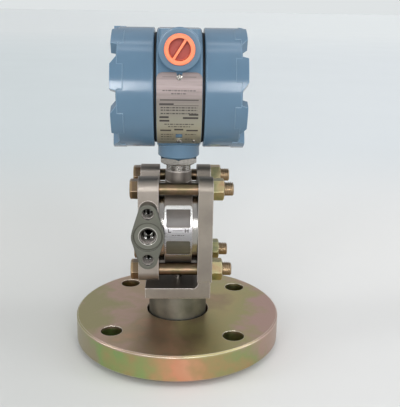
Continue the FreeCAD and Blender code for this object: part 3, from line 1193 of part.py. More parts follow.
def posts_at(radius):
    """The places of the board posts, as circles round the housing axis."""
    return [(f"post_circle * cos(90 + {number} * 360 / post_count)",
             f"post_circle * sin(90 + {number} * 360 / post_count)", radius)
            for number in range(int(value("post_count")))]


def middle_box(across, up, width, height):
    """A rectangle from its middle and its size."""
    return box(f"{across} - {width} / 2", f"{up} - {height} / 2", f"{across} + {width} / 2",
               f"{up} + {height} / 2")


def board(label, level, parts):
    """A round circuit board with its components on the side that faces its cover."""
    piece = Piece(label, HOUSING_AXIS)
    top = f"{level} + board_thickness"
    piece.add("panel", "YZ", ("circles", ("0", "0", "board_radius")), level, top)
    piece.cut("screw_holes", "YZ", ("circles", *posts_at("board_screw_radius + board_screw_fit")), level, top)
    for name, shape, height in parts:
        piece.add(name, "YZ", shape, top, f"{top} + {height}")
    return piece.body


def electronics():
    """Calibration board with the two potentiometers, and the amplifier board in front of it."""
    pot_middle = "-adjuster_reach + pot_gap + pot_length / 2"
    pots = [(name, middle_box(pot_middle, level, "pot_length", "pot_width"), "pot_height")
            for name, level in (("zero_potentiometer", "adjuster_rise"),
                                ("span_potentiometer", "-adjuster_rise"))]
    connector = ("connector", middle_box("plug_row_across", "-plug_row_drop", "plug_row_width",
                                         "plug_row_length"), "plug_row_height")
    coil = ("coil", ("circles", ("-coil_across", "-coil_drop", "coil_radius")), "coil_height")
    capacitors = [("-capacitor_across", f"capacitor_rise - {number} * capacitor_pitch", "capacitor_radius")
                  for number in range(int(value("capacitor_count")))]
    chips = [(name, middle_box("chip_across", f"{side} * chip_rise", "chip_width", "chip_depth"),
              "chip_height") for name, side in (("driver", -1), ("amplifier", 1))]
    regulator = ("output_transistor", middle_box("-regulator_across", "-regulator_drop", "regulator_width",
                                                 "regulator_depth"), "regulator_height")
    return [board("calibration_board", FIRST_BOARD, [*pots, connector, coil]),
            board("amplifier_board", SECOND_BOARD, [
                ("capacitors", ("circles", *capacitors), "capacitor_height"), *chips, regulator])]


def board_hardware():
    """Posts and spacers that carry the boards, and the screws through them."""
    bodies = []
    bore = "board_screw_radius + board_screw_fit"
    places = [("0", across, f"housing_height + {up}") for across, up, _ in posts_at(bore)]
    for label, low, high in (("board_posts", CHAMBER_START, FIRST_BOARD),
                             ("board_spacers", f"{FIRST_BOARD} + board_thickness", SECOND_BOARD)):
        master = Piece(label + "_pattern_piece")
        master.add("post", "YZ", ("circles", ("0", "0", "post_radius"), ("0", "0", bore)), low, high)
        bodies.append(group(label, master.body, places))
    screw = Piece("board_screw_pattern_piece")
    rod, tip, head = "board_screw_radius", f"{CHAMBER_START} + board_screw_gap", "board_screw_head"
    crown = f"{BOARD_TOP} + board_screw_rise"
    screw.turn("turned", "XZ", [
        (tip, "0"), (tip, rod), (BOARD_TOP, rod), (BOARD_TOP, head),
        (f"{BOARD_TOP} + board_screw_rise * {SIDE}", head), (crown, f"{head} * {CROWN}"), (crown, "0"),
    ], "across")
    return bodies + [group("board_screws", screw.body, places)]


def terminals():
    """Terminal block with its barriers, its screws and the ground screw."""
    piece = Piece("terminal_block", HOUSING_AXIS)
    base, face = f"-({CHAMBER_START})", f"-({CHAMBER_START} + block_thickness)"
    wide, high = half("block_width"), half("block_height")
    piece.add("block", "YZ", box(f"-{wide}", f"-{high}", wide, high, "block_corner"), face, base)
    count = int(value("terminal_count"))
    for number in range(count + 1):
        middle = f"({number} - terminal_count / 2) * terminal_pitch"
        piece.add("barrier", "YZ", middle_box(middle, "0", "block_ridge_width", "block_ridge_length"),
                  f"{face} - block_ridge", face)
    spots = [(f"({number} + 0.5 - terminal_count / 2) * terminal_pitch", "0",
              "terminal_shank + terminal_fit") for number in range(count)]
    piece.cut("screw_holes", "YZ", ("circles", *spots), face, f"{face} + terminal_depth")
    master = slotted_screw("terminal_screw_pattern_piece", ("0", "0", "0"), "terminal_depth - terminal_gap")
    ground = slotted_screw("ground_screw", (base, "0", "housing_height - ground_drop"))
    places = [(face, across, "housing_height") for across, _, _ in spots]
    return [piece.body, group("terminal_screws", master, places), ground]


def slotted_screw(label, at, depth=None):
    """A slotted pan head screw that points to +X, with its seat at its origin."""
    piece = Piece(label, at)
    head = "terminal_head"
    profile = [("0", "0"), (f"-{head}", "0"), (f"-{head}", f"terminal_radius * {CROWN}"),
               (f"-{head} * {SIDE}", "terminal_radius"), ("0", "terminal_radius")]
    if depth:
        profile[0] = (depth, "0")
        profile += [("0", "terminal_shank"), (depth, "terminal_shank")]
    piece.turn("turned", "XZ", profile, "across")
    piece.cut("slot", "YZ", middle_box("0", "0", "3 * terminal_radius", "terminal_slot"),
              f"-{head}", f"terminal_slot_depth - {head}")
    return piece.body


def build():
    """Every sub-part of the transmitter, in the order that it goes together."""
    parts = [seal_body(), process_diaphragm(), mounting_flange(), high_side_flange(), fill_plug()]
    parts += [low_side_flange(), *flange_bolting(), sensor_module(), *measuring_cell()]
    parts += [isolating_diaphragm("high_isolating_diaphragm", 1)]
    parts += [isolating_diaphragm("low_isolating_diaphragm", -1)]
    parts += [process_o_ring("high_side_o_ring", 1), process_o_ring("low_side_o_ring", -1)]
    parts += [sensor_tag(), sensor_header(), neck_o_ring(), lock_nut(), *vent_valve()]
    parts += [housing(), cover("left_cover", -1, "left_lug_turn"), cover("right_cover", 1, "right_lug_turn")]
    parts += [cover_o_ring("left_cover_o_ring", -1), cover_o_ring("right_cover_o_ring", 1)]
    parts += [conduit_plug(), nameplate(), *nameplate_fasteners()]
    parts += [adjuster("zero_screw", "adjuster_rise"), adjuster("span_screw", "-adjuster_rise")]
    parts += [*electronics(), *board_hardware(), *terminals()]
    return parts


def export(parts):
    """Checks every object of the document, then writes one file for each sub-part."""
    doc.recompute()
    for thing in doc.Objects:
        if {"Invalid", "Error"} & set(thing.State):
            raise RuntimeError(f"{thing.Label} did not build: {thing.State}")
    for part in parts:
        if part.Shape.isNull() or not part.Shape.isValid():
            raise RuntimeError(f"{part.Label} has no valid shape")
    os.makedirs("parts", exist_ok=True)
    for part in parts:
        part.Shape.exportStep(f"parts/{part.Label}.step")
    print(len(parts), "parts written")


fill_sheet()
export(build())
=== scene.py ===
# %% [markdown]
# # A flanged differential pressure transmitter
# This instrument tells the level in a tank. It stands on the face of a pipe flange, which carries a
# thin seal diaphragm. A bolted sensor sits above the seal, and a blue die-cast housing with two screwed
# covers holds the electronics.
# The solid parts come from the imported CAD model. This lesson gives them their finishes, adds the
# threads and the print that a designer leaves out of the solids, and lights the whole on a pale floor.

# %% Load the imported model
import math

import bpy
from mathutils import Matrix, Vector


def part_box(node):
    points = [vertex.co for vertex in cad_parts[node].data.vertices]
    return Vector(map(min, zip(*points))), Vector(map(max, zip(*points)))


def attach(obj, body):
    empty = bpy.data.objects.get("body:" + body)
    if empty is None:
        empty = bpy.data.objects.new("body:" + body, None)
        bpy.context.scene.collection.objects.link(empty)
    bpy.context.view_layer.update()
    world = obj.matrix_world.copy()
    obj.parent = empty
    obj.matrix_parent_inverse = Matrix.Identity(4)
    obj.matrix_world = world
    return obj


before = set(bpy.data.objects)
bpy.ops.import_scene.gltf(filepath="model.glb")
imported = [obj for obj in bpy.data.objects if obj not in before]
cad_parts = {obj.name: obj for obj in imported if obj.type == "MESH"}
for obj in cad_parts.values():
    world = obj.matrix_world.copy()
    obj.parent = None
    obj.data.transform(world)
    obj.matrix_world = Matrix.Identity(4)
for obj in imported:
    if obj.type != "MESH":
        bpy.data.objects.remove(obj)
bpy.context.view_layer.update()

# %% [markdown]
# ## Sizes
# The added pieces follow a few sizes of the real instrument, in metres. What the frame knows is read
# from the frame: the axes of the housing and of the sensor are the middles of their nodes. The rest are
# the sizes of the threaded pieces and how far they lie from those two axes.

# %% Sizes
MM = 0.001


def middle(name):
    """The centre of a node's box."""
    low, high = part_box(name)
    return (Vector(low) + Vector(high)) / 2


HOUSING_HEIGHT = middle("left_cover").z
MODULE_HEIGHT = middle("sensor_tag").z
NECK_RADIUS = 10.75 * MM
BOLT_RADIUS = 5.55 * MM
PORT_RADIUS = 6.85 * MM
ADAPTER_RADIUS = 4.95 * MM
SPIGOT_RADIUS = 44.4 * MM
CONDUIT_RADIUS = 10.3 * MM
PORT_X = -26.1 * MM
ADAPTER_RISE = 20.65 * MM
BOLT_SIDE, BOLT_RISE = 26.5 * MM, 37.17 * MM
CONDUIT_RISE = 35.6 * MM
NUT_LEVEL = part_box("lock_nut")[0][2]
print("housing axis", round(HOUSING_HEIGHT, 4), "sensor axis", round(MODULE_HEIGHT, 4))

# %% [markdown]
# ## Node groups
# Several finishes share the same effects: edges that are slightly round, a grain of fine and coarse
# spots, and fine lines left by a tool. Each effect is a node group with named sockets, so one change
# reaches every finish that uses it. A group puts out masks and normals only, and the shader itself
# stays in each material. First come a few helpers that add, feed and link nodes in one line each.

# %% Colours and new groups
def colour(red, green, blue):
    """A colour written as 0 to 255, as a painter would mix it on a screen, made linear."""
    steps = [step / 255 for step in (red, green, blue)]
    return tuple(s / 12.92 if s <= 0.04045 else ((s + 0.055) / 1.055) ** 2.4 for s in steps) + (1.0,)


def new_group(name, inputs, outputs):
    """A shader node group: inputs are (name, kind, value) and outputs are (name, kind)."""
    group = bpy.data.node_groups.new(name, "ShaderNodeTree")
    for label, kind, start in inputs:
        socket = group.interface.new_socket(label, in_out="INPUT", socket_type="NodeSocket" + kind)
        socket.default_value = start
    for label, kind in outputs:
        group.interface.new_socket(label, in_out="OUTPUT", socket_type="NodeSocket" + kind)
    return group, group.nodes.new("NodeGroupInput"), group.nodes.new("NodeGroupOutput")


print("white is", colour(255, 255, 255), "and half grey is", colour(128, 128, 128))

# %% Nodes, links and colours that are blended
def add_node(tree, kind, settings=(), **sockets):
    """A node with its settings and plain socket values."""
    node = tree.nodes.new("ShaderNode" + kind)
    for key, setting in settings:
        setattr(node, key, setting)
    for key, plain in sockets.items():
        node.inputs[key.replace("_", " ")].default_value = plain
    return node


def feed(tree, socket, source):
    """Gives a socket a plain value or a link."""
    if isinstance(source, bpy.types.NodeSocket):
        tree.links.new(source, socket)
    else:
        socket.default_value = source


def ramp(tree, source, stops):
    """A colour ramp fed by a mask; stops are (position, colour)."""
    node = tree.nodes.new("ShaderNodeValToRGB")
    while len(node.color_ramp.elements) < len(stops):
        node.color_ramp.elements.new(0.5)
    for element, (place, shade) in zip(node.color_ramp.elements, stops):
        element.position, element.color = place, shade
    tree.links.new(source, node.inputs[0])
    return node.outputs["Color"]


def blend_colours(tree, mask, low, high):
    """Mixes two colours or links by a mask."""
    node = add_node(tree, "Mix", [("data_type", "RGBA")])
    for slot, source in ((0, mask), (6, low), (7, high)):
        feed(tree, node.inputs[slot], source)
    return node.outputs[2]


print("helpers", [helper.__name__ for helper in (add_node, feed, ramp, blend_colours)])

# %% Sums, soft steps and the place of a point
def sum_up(tree, kind, *sources):
    """One Math node on links or plain numbers."""
    node = add_node(tree, "Math", [("operation", kind)])
    for slot, source in enumerate(sources):
        feed(tree, node.inputs[slot], source)
    return node.outputs[0]


def fade(tree, source, start, end, low=0.0, high=1.0):
    """A soft step: low before the start, high after the end."""
    node = add_node(tree, "MapRange", [("interpolation_type", "SMOOTHSTEP")])
    for slot, plain in enumerate((source, start, end, low, high)):
        feed(tree, node.inputs[slot], plain)
    return node.outputs[0]


def position(tree):
    """X, Y and Z of the point that is shaded, in metres from the object's origin."""
    place = add_node(tree, "TexCoord")
    parts = add_node(tree, "SeparateXYZ")
    tree.links.new(place.outputs["Object"], parts.inputs[0])
    return parts.outputs["X"], parts.outputs["Y"], parts.outputs["Z"]


print("helpers", [helper.__name__ for helper in (sum_up, fade, position)])

# %% [markdown]
# ## Four effects
# Grain gives slow clouds and fine specks. Cast skin, paint and film all need both, at scales of their
# own, so the two scales are sockets.

# %% Grain: coarse clouds and fine specks
def make_grain():
    group, given, result = new_group(
        "grain", [("Coarse Scale", "Float", 30.0), ("Fine Scale", "Float", 900.0)],
        [("Coarse", "Float"), ("Fine", "Float")])
    place = add_node(group, "TexCoord")
    for label, detail in (("Coarse", 4.0), ("Fine", 2.0)):
        noise = add_node(group, "TexNoise", Detail=detail, Roughness=0.55)
        group.links.new(place.outputs["Object"], noise.inputs["Vector"])
        group.links.new(given.outputs[label + " Scale"], noise.inputs["Scale"])
        group.links.new(noise.outputs[0], result.inputs[label])
    return group


GRAIN = make_grain()
print("group", GRAIN.name)

# %% [markdown]
# No edge of a real casting is sharp, and paint and film wear through there first. A Bevel node turns the
# normal near an edge without any new faces. Where it differs from the true normal lies an edge, and that
# difference is the mask for wear. The blue paint and the flange's plating also paint a highlight along their
# edges with it.

# %% Soft edge: a rounded normal and a mask that is 1 on a worn edge
def make_soft_edge():
    group, given, result = new_group(
        "soft_edge", [("Radius", "Float", 0.0006), ("Wear Radius", "Float", 0.001)],
        [("Normal", "Vector"), ("Wear", "Float")])
    soft = add_node(group, "Bevel", [("samples", 6)])
    group.links.new(given.outputs["Radius"], soft.inputs["Radius"])
    group.links.new(soft.outputs[0], result.inputs["Normal"])
    wide = add_node(group, "Bevel", [("samples", 6)])
    group.links.new(given.outputs["Wear Radius"], wide.inputs["Radius"])
    plain = add_node(group, "NewGeometry")
    dot = add_node(group, "VectorMath", [("operation", "DOT_PRODUCT")])
    group.links.new(wide.outputs[0], dot.inputs[0])
    group.links.new(plain.outputs["Normal"], dot.inputs[1])
    away = sum_up(group, "SUBTRACT", 1.0, dot.outputs["Value"])
    grown = sum_up(group, "MULTIPLY", away, 9.0)
    group.links.new(sum_up(group, "MINIMUM", grown, 1.0), result.inputs["Wear"])
    return group


SOFT_EDGE = make_soft_edge()
print("group", SOFT_EDGE.name)

# %% [markdown]
# A lathe or a brush leaves lines that run one way. Noise that is stretched along one axis looks like
# them and costs one texture.

# %% Tool lines: fine lines drawn out along one direction
def make_tool_lines():
    group, given, result = new_group(
        "tool_lines", [("Stretch", "Vector", (1.0, 1.0, 1.0)), ("Scale", "Float", 400.0)],
        [("Lines", "Float")])
    place = add_node(group, "TexCoord")
    stretch = add_node(group, "VectorMath", [("operation", "MULTIPLY")])
    group.links.new(place.outputs["Object"], stretch.inputs[0])
    group.links.new(given.outputs["Stretch"], stretch.inputs[1])
    noise = add_node(group, "TexNoise", Detail=3.0, Roughness=0.6)
    group.links.new(stretch.outputs[0], noise.inputs["Vector"])
    group.links.new(given.outputs["Scale"], noise.inputs["Scale"])
    group.links.new(noise.outputs[0], result.inputs["Lines"])
    return group


TOOL_LINES = make_tool_lines()
print("group", TOOL_LINES.name)

# %% [markdown]
# A drill or a spot face leaves a round field on a flat face. The distance from an axis, compared with
# a radius, marks it. The axis is left out by a vector of ones and a zero.

# %% Ring mask: 1 inside a radius round an axis
def make_ring_mask():
    group, given, result = new_group(
        "ring_mask", [("Centre", "Vector", (0.0, 0.0, 0.0)), ("Keep", "Vector", (1.0, 0.0, 1.0)),
                      ("Radius", "Float", 0.01)],
        [("Inside", "Float")])
    place = add_node(group, "TexCoord")
    away = add_node(group, "VectorMath", [("operation", "SUBTRACT")])
    group.links.new(place.outputs["Object"], away.inputs[0])
    group.links.new(given.outputs["Centre"], away.inputs[1])
    flat = add_node(group, "VectorMath", [("operation", "MULTIPLY")])
    group.links.new(away.outputs[0], flat.inputs[0])
    group.links.new(given.outputs["Keep"], flat.inputs[1])
    reach = add_node(group, "VectorMath", [("operation", "LENGTH")])
    group.links.new(flat.outputs[0], reach.inputs[0])
    past = sum_up(group, "SUBTRACT", given.outputs["Radius"], reach.outputs["Value"])
    group.links.new(fade(group, past, 0.0, 0.0002), result.inputs["Inside"])
    return group


RING_MASK = make_ring_mask()
print("group", RING_MASK.name)

# %% [markdown]
# ## A finish
# Every finish starts from one Principled BSDF. Its plain numbers are set on the shader itself, and
# what varies over the surface comes from the groups above.

# %% Start a finish
def start_finish(name, **plain):
    """A new material with its shader; plain numbers are set on the shader's sockets."""
    material = bpy.data.materials.new(name)
    material.use_nodes = True
    tree = material.node_tree
    shader = tree.nodes["Principled BSDF"]
    for key, start in plain.items():
        shader.inputs[key.replace("_", " ")].default_value = start
    return material, tree, shader


def place_group(tree, group, **sockets):
    """A node group in a tree, with its own values."""
    node = tree.nodes.new("ShaderNodeGroup")
    node.node_tree = group
    for key, start in sockets.items():
        node.inputs[key.replace("_", " ")].default_value = start
    return node


def bump(tree, shader, height, distance, edge):
    """Fine relief on top of the softened edges."""
    node = add_node(tree, "Bump", Strength=1.0, Distance=distance)
    tree.links.new(height, node.inputs["Height"])
    tree.links.new(edge.outputs["Normal"], node.inputs["Normal"])
    tree.links.new(node.outputs[0], shader.inputs["Normal"])


def fed_by(finish, label):
    """A finish that exists, its tree and shader, and what feeds one of the shader's sockets."""
    tree = finish.node_tree
    shader = tree.nodes["Principled BSDF"]
    return tree, shader, shader.inputs[label].links[0].from_socket


FINISHES = {}
print("finishes start here")

# %% [markdown]
# ## Blue paint
# The housing and its covers are die-cast and painted with a satin blue enamel. Sprayed enamel is never quite
# flat: it has a faint orange-peel relief, a slow change of tone, and a thinner film on the edges, which are
# drawn lighter, partly as wear and partly as a painted highlight.
# A plain dielectric with three close blues does that, with no clear coat, as the real paint has none.

# %% Blue enamel
def blue_enamel():
    finish, tree, shader = start_finish("blue_enamel", Specular_IOR_Level=0.5)
    grain = place_group(tree, GRAIN, Coarse_Scale=18.0, Fine_Scale=1100.0)
    edge = place_group(tree, SOFT_EDGE, Radius=0.0008, Wear_Radius=0.0009)
    tone = ramp(tree, grain.outputs["Coarse"],
                [(0.3, colour(82, 108, 128)), (0.5, colour(84, 111, 132)), (0.7, colour(87, 114, 135))])
    # The lighter edge colour is partly worn paint and partly a painted highlight.
    worn = blend_colours(tree, edge.outputs["Wear"], tone, colour(122, 148, 168))
    tree.links.new(worn, shader.inputs["Base Color"])
    rough = sum_up(tree, "MULTIPLY_ADD", grain.outputs["Coarse"], 0.08, 0.12)
    tree.links.new(rough, shader.inputs["Roughness"])
    bump(tree, shader, grain.outputs["Fine"], 0.00003, edge)
    return finish


FINISHES["blue_paint"] = blue_enamel()
print("finish", FINISHES["blue_paint"].name)

# %% [markdown]
# ## Steel
# The process flanges and the sensor are cast stainless steel with a fine blasted skin, so their
# reflections are wide and their tone is uneven. A metal's colour is what it reflects, so it stays
# a mid grey, a little warm. Edges that hands and wrenches rub are lighter.

# %% Cast steel
def cast_steel(name, dark, light, rough):
    finish, tree, shader = start_finish(name, Metallic=1.0)
    grain = place_group(tree, GRAIN, Coarse_Scale=45.0, Fine_Scale=1500.0)
    edge = place_group(tree, SOFT_EDGE, Radius=0.0009, Wear_Radius=0.001)
    tone = ramp(tree, grain.outputs["Coarse"], [(0.3, dark), (0.7, light)])
    worn = blend_colours(tree, edge.outputs["Wear"], tone, colour(214, 206, 200))
    tree.links.new(worn, shader.inputs["Base Color"])
    tree.links.new(sum_up(tree, "MULTIPLY_ADD", grain.outputs["Fine"], 0.2, rough - 0.1),
                   shader.inputs["Roughness"])
    bump(tree, shader, grain.outputs["Fine"], 0.00006, edge)
    return finish


FINISHES["cast_stainless"] = cast_steel("cast_stainless", colour(118, 111, 103), colour(137, 130, 120), 0.5)
FINISHES["gasket_steel"] = cast_steel("gasket_steel", colour(88, 88, 80), colour(119, 118, 109), 0.52)
print("cast steels", [FINISHES[key].name for key in ("cast_stainless", "gasket_steel")])

# %% [markdown]
# Screws and diaphragms are cut or rolled, so they are smoother, brighter and lined. The lines lie
# along one axis, and a vector with one small number stretches them that way.

# %% Turned steel
def turned_steel(name, dark, light, rough, stretch):
    finish, tree, shader = start_finish(name, Metallic=1.0)
    lines = place_group(tree, TOOL_LINES, Stretch=stretch, Scale=500.0)
    edge = place_group(tree, SOFT_EDGE, Radius=0.0004, Wear_Radius=0.0006)
    tone = ramp(tree, lines.outputs["Lines"], [(0.3, dark), (0.7, light)])
    tree.links.new(tone, shader.inputs["Base Color"])
    tree.links.new(sum_up(tree, "MULTIPLY_ADD", lines.outputs["Lines"], 0.2, rough - 0.1),
                   shader.inputs["Roughness"])
    bump(tree, shader, lines.outputs["Lines"], 0.00002, edge)
    return finish


FINISHES["diaphragm_steel"] = turned_steel("diaphragm_steel", colour(170, 168, 164), colour(196, 194, 190),
                                           0.22, (1.0, 1.0, 0.1))
FINISHES["screw_steel"] = turned_steel("screw_steel", colour(150, 146, 140), colour(186, 182, 176), 0.2,
                                       (1.0, 0.1, 1.0))
print("turned steels", [FINISHES[key].name for key in ("diaphragm_steel", "screw_steel")])

# %% [markdown]
# ## Machined fields, painted shade and painted reflections on the castings
# The port boss of the low side flange keeps a darker skin than the plate behind it. A cutter has faced rings
# round the port; the outermost, darkest ring, at the rim of the spot face, is painted shade. The three
# threaded holes are smooth and painted dark inside, as shade. Extra slots would need cut faces, so masks by
# place draw these fields: how deep a point lies behind the boss's face, and how far it is from a hole's axis.
# Two narrow white strips in each hole are painted reflections, standing for the long reflections in a smooth
# bore.

# %% Shades of the boss and of its faced rings
def faced_rings(tree, depth, face, shade):
    """Darkens the boss, then draws the rings round the port, the outermost as painted shade; radii go from
    the outer to the inner.
    """
    boss = fade(tree, depth, face + 11 * MM, face + 8 * MM)
    shade = blend_colours(tree, boss, shade, colour(98, 98, 90))
    on_face = fade(tree, depth, face + 2.0 * MM, face + 1.6 * MM)
    # The first, darkest ring lies at the rim of the spot face: painted shade. The others are faced rings.
    for radius, tone in ((12.7, colour(78, 78, 70)), (11.6, colour(104, 104, 96)),
                         (8.3, colour(168, 166, 158)), (7.7, colour(96, 96, 90))):
        ring = place_group(tree, RING_MASK, Centre=(PORT_X, 0.0, MODULE_HEIGHT), Radius=radius * MM)
        mask = sum_up(tree, "MULTIPLY", ring.outputs["Inside"], on_face)
        shade = blend_colours(tree, mask, shade, tone)
    return shade


def painted_reflection_strips(tree, across, up, radius, height):
    """Two upright painted reflections, as strips in the lower half of a round hole."""
    mask = fade(tree, up, height - 0.1 * radius, height - 0.3 * radius)
    for start, end in ((0.18, 0.24), (0.5, 0.44)):
        mask = sum_up(tree, "MULTIPLY", mask, fade(tree, across, start * radius, end * radius))
    return mask


print("port axis", round(PORT_X, 4), "adapter holes", ADAPTER_RISE, "above and below it")

# %% The low side flange's finish
def spot_faced_steel():
    finish = cast_steel("spot_faced_steel", colour(134, 126, 118), colour(154, 146, 137), 0.5)
    tree, shader, skin = fed_by(finish, "Base Color")
    smooth = fed_by(finish, "Roughness")[2]
    beside, depth, up = position(tree)
    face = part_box("low_side_flange")[0][1]
    shade = faced_rings(tree, depth, face, skin)
    deeper = fade(tree, depth, face + 0.6 * MM, face + 1.2 * MM)
    across = sum_up(tree, "ABSOLUTE", sum_up(tree, "SUBTRACT", beside, PORT_X))
    for radius, rise in ((7.6 * MM, 0.0), (5.6 * MM, ADAPTER_RISE), (5.6 * MM, -ADAPTER_RISE)):
        height = MODULE_HEIGHT + rise
        hole = place_group(tree, RING_MASK, Centre=(PORT_X, 0.0, height), Radius=radius)
        mask = sum_up(tree, "MULTIPLY", hole.outputs["Inside"], deeper)
        # Painted shade: the inside of each hole is painted dark, and it is smooth.
        shade = blend_colours(tree, mask, shade, colour(84, 82, 78))
        smooth = fade(tree, mask, 0.0, 1.0, smooth, 0.14)
        # Painted reflections: two white strips low in each hole.
        painted_reflections = sum_up(tree, "MULTIPLY", painted_reflection_strips(tree, across, up, radius, height), mask)
        shade = blend_colours(tree, painted_reflections, shade, colour(255, 255, 252))
    tree.links.new(shade, shader.inputs["Base Color"])
    tree.links.new(smooth, shader.inputs["Roughness"])
    return finish


SPOT_FACED = spot_faced_steel()
print("finish", SPOT_FACED.name)

# %% [markdown]
# The sensor is one casting too, machined bright on its neck thread and on the steps beside the tag.
# Its mask is the higher of two fields, one by height and one by distance from the middle.

# %% The sensor's finish
def necked_steel():
    finish = cast_steel("necked_steel", colour(122, 115, 108), colour(140, 133, 125), 0.5)
    tree, shader, skin = fed_by(finish, "Base Color")
    rough = fed_by(finish, "Roughness")[2]
    beside, _, up = position(tree)
    neck = fade(tree, up, NUT_LEVEL - 5.8 * MM, NUT_LEVEL - 5.6 * MM)
    steps = fade(tree, sum_up(tree, "ABSOLUTE", beside), 12.3 * MM, 12.5 * MM)
    mask = sum_up(tree, "MAXIMUM", neck, steps)
    tree.links.new(blend_colours(tree, mask, skin, colour(166, 163, 158)), shader.inputs["Base Color"])
    tree.links.new(fade(tree, mask, 0.0, 1.0, rough, 0.16), shader.inputs["Roughness"])
    return finish


NECKED = necked_steel()
print("finish", NECKED.name)

# %% [markdown]
# ## Zinc plating
# Bolts, nuts and the loose flange are zinc plated and passivated. The film is thinner than a wave of
# light, so its colour drifts from gold to olive and pink as its thickness changes. Each piece draws the
# film in its own way, and a function that is handed over does that: the rest of the finish is shared.

# %% Zinc plating with its coloured film
def even_stops(shades, start, end):
    """Colour stops from start to end, as far from each other."""
    step = (end - start) / (len(shades) - 1)
    return [(start + step * count, shade) for count, shade in enumerate(shades)]


def zinc_film(name, film, rough, scale, edge_wear_and_glint_shade):
    """film draws the colours, from the tree and its slow clouds."""
    finish, tree, shader = start_finish(name, Metallic=1.0)
    grain = place_group(tree, GRAIN, Coarse_Scale=scale, Fine_Scale=1200.0)
    edge = place_group(tree, SOFT_EDGE, Radius=0.0007, Wear_Radius=0.0009)
    worn = blend_colours(tree, edge.outputs["Wear"], film(tree, grain.outputs["Coarse"]), edge_wear_and_glint_shade)
    tree.links.new(worn, shader.inputs["Base Color"])
    tree.links.new(sum_up(tree, "MULTIPLY_ADD", grain.outputs["Fine"], 0.2, rough - 0.1),
                   shader.inputs["Roughness"])
    bump(tree, shader, grain.outputs["Fine"], 0.00003, edge)
    return finish


print("zinc plating ready")

# %% Film of the loose flange: uneven bands from left to right, stronger round the side
TOP_SHADES = [colour(168, 160, 120), colour(190, 162, 146), colour(178, 158, 130), colour(196, 160, 132),
              colour(172, 152, 118), colour(186, 172, 124), colour(180, 172, 124), colour(196, 164, 152)]
SIDE_SHADES = [colour(166, 156, 128), colour(146, 170, 110), colour(178, 158, 112), colour(214, 152, 120),
               colour(216, 160, 128), colour(186, 154, 112), colour(154, 162, 112), colour(178, 152, 136)]


def flange_film(tree, clouds):
    beside, _, up = position(tree)
    spots = place_group(tree, GRAIN, Fine_Scale=60.0)
    drift = sum_up(tree, "MULTIPLY_ADD", beside, 5.0, 0.5)
    for source, share in ((clouds, 0.9), (spots.outputs["Fine"], 0.3)):
        drift = sum_up(tree, "ADD", drift, sum_up(tree, "MULTIPLY_ADD", source, share, -share / 2))
    top, side = [ramp(tree, drift, even_stops(shades, 0.04, 0.96)) for shades in (TOP_SHADES, SIDE_SHADES)]
    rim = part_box("mounting_flange")[1][2]
    return blend_colours(tree, fade(tree, up, rim - 1.5 * MM, rim - 3.5 * MM), top, side)


# The flange's near-white edge colour is partly wear and partly a painted highlight along its rim.
FINISHES["flange_plating"] = zinc_film("flange_plating", flange_film, 0.36, 13.0, colour(246, 240, 226))
print("plating", FINISHES["flange_plating"].name)

# %% Film of the bolts, lighter on the heads and ends outside the two flanges, and of the nuts
BOLT_SHADES = [colour(110, 86, 70), colour(119, 100, 81), colour(102, 92, 70), colour(117, 93, 77)]
NUT_SHADES = [colour(170, 130, 104), colour(174, 161, 122), colour(148, 146, 108), colour(114, 120, 94)]


def bolt_film(tree, clouds):
    left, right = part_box("low_side_flange")[0][0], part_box("high_side_flange")[1][0]
    reach = (right - left) / 2
    away = sum_up(tree, "ABSOLUTE", sum_up(tree, "SUBTRACT", position(tree)[0], (left + right) / 2))
    outside = fade(tree, away, reach - 1.0 * MM, reach)
    return blend_colours(tree, outside, ramp(tree, clouds, even_stops(BOLT_SHADES, 0.3, 0.7)),
                         colour(150, 128, 98))


def nut_film(tree, clouds):
    return ramp(tree, clouds, even_stops(NUT_SHADES, 0.3, 0.7))


FINISHES["bolt_plating"] = zinc_film("bolt_plating", bolt_film, 0.34, 60.0, colour(182, 162, 138))
NUT_PLATING = zinc_film("nut_plating", nut_film, 0.34, 70.0, colour(214, 208, 170))
print("plating", FINISHES["bolt_plating"].name, NUT_PLATING.name)

# %% [markdown]
# ## Sheet metal
# The nameplate and the sensor's tag are thin brushed sheet, bent round their carriers. Both carry painted
# light, a tone that changes from their lower to their upper edge: the nameplate is painted lighter towards
# its lower edge, and the tag near white towards its upper edge as a painted highlight. One function draws
# them, with the two heights as values.

# %% Sheet metal of the nameplate and the sensor tag
def sheet_with_painted_light(name, dark, light, rough, low, high, painted_lower_tone):
    """Brushed sheet with painted light: its tone shifts from its lower to its upper edge."""
    finish = turned_steel(name, dark, light, rough, (0.05, 1.0, 1.0))
    tree, shader, brushed = fed_by(finish, "Base Color")
    mask = fade(tree, position(tree)[2], high, low)
    tree.links.new(blend_colours(tree, mask, brushed, painted_lower_tone), shader.inputs["Base Color"])
    return finish


# Painted light: the nameplate is lighter towards its lower edge and darker above; the tag is near white
# above, as a painted highlight.
FINISHES["nameplate_metal"] = sheet_with_painted_light(
    "nameplate_metal", colour(110, 101, 99), colour(132, 121, 119), 0.47,
    HOUSING_HEIGHT - 34 * MM, HOUSING_HEIGHT + 5 * MM, colour(188, 185, 168))
FINISHES["tag_metal"] = sheet_with_painted_light(
    "tag_metal", colour(236, 236, 232), colour(248, 248, 245), 0.28,
    MODULE_HEIGHT + 5 * MM, MODULE_HEIGHT + 16 * MM, colour(164, 162, 163))
print("sheets", FINISHES["nameplate_metal"].name, FINISHES["tag_metal"].name)

# %% [markdown]
# ## Plastic, rubber and laminate
# The thread protector is moulded in bright orange plastic, the O-rings are black rubber, and the boards are
# green laminate. The print on the plates is dark ink, and its two windows are coloured paper; the lower
# window is the same paper painted darker, as shade. All are plain moulded or coated stuff, so one function
# serves them. A little scatter under the skin keeps the orange warm in the shade.

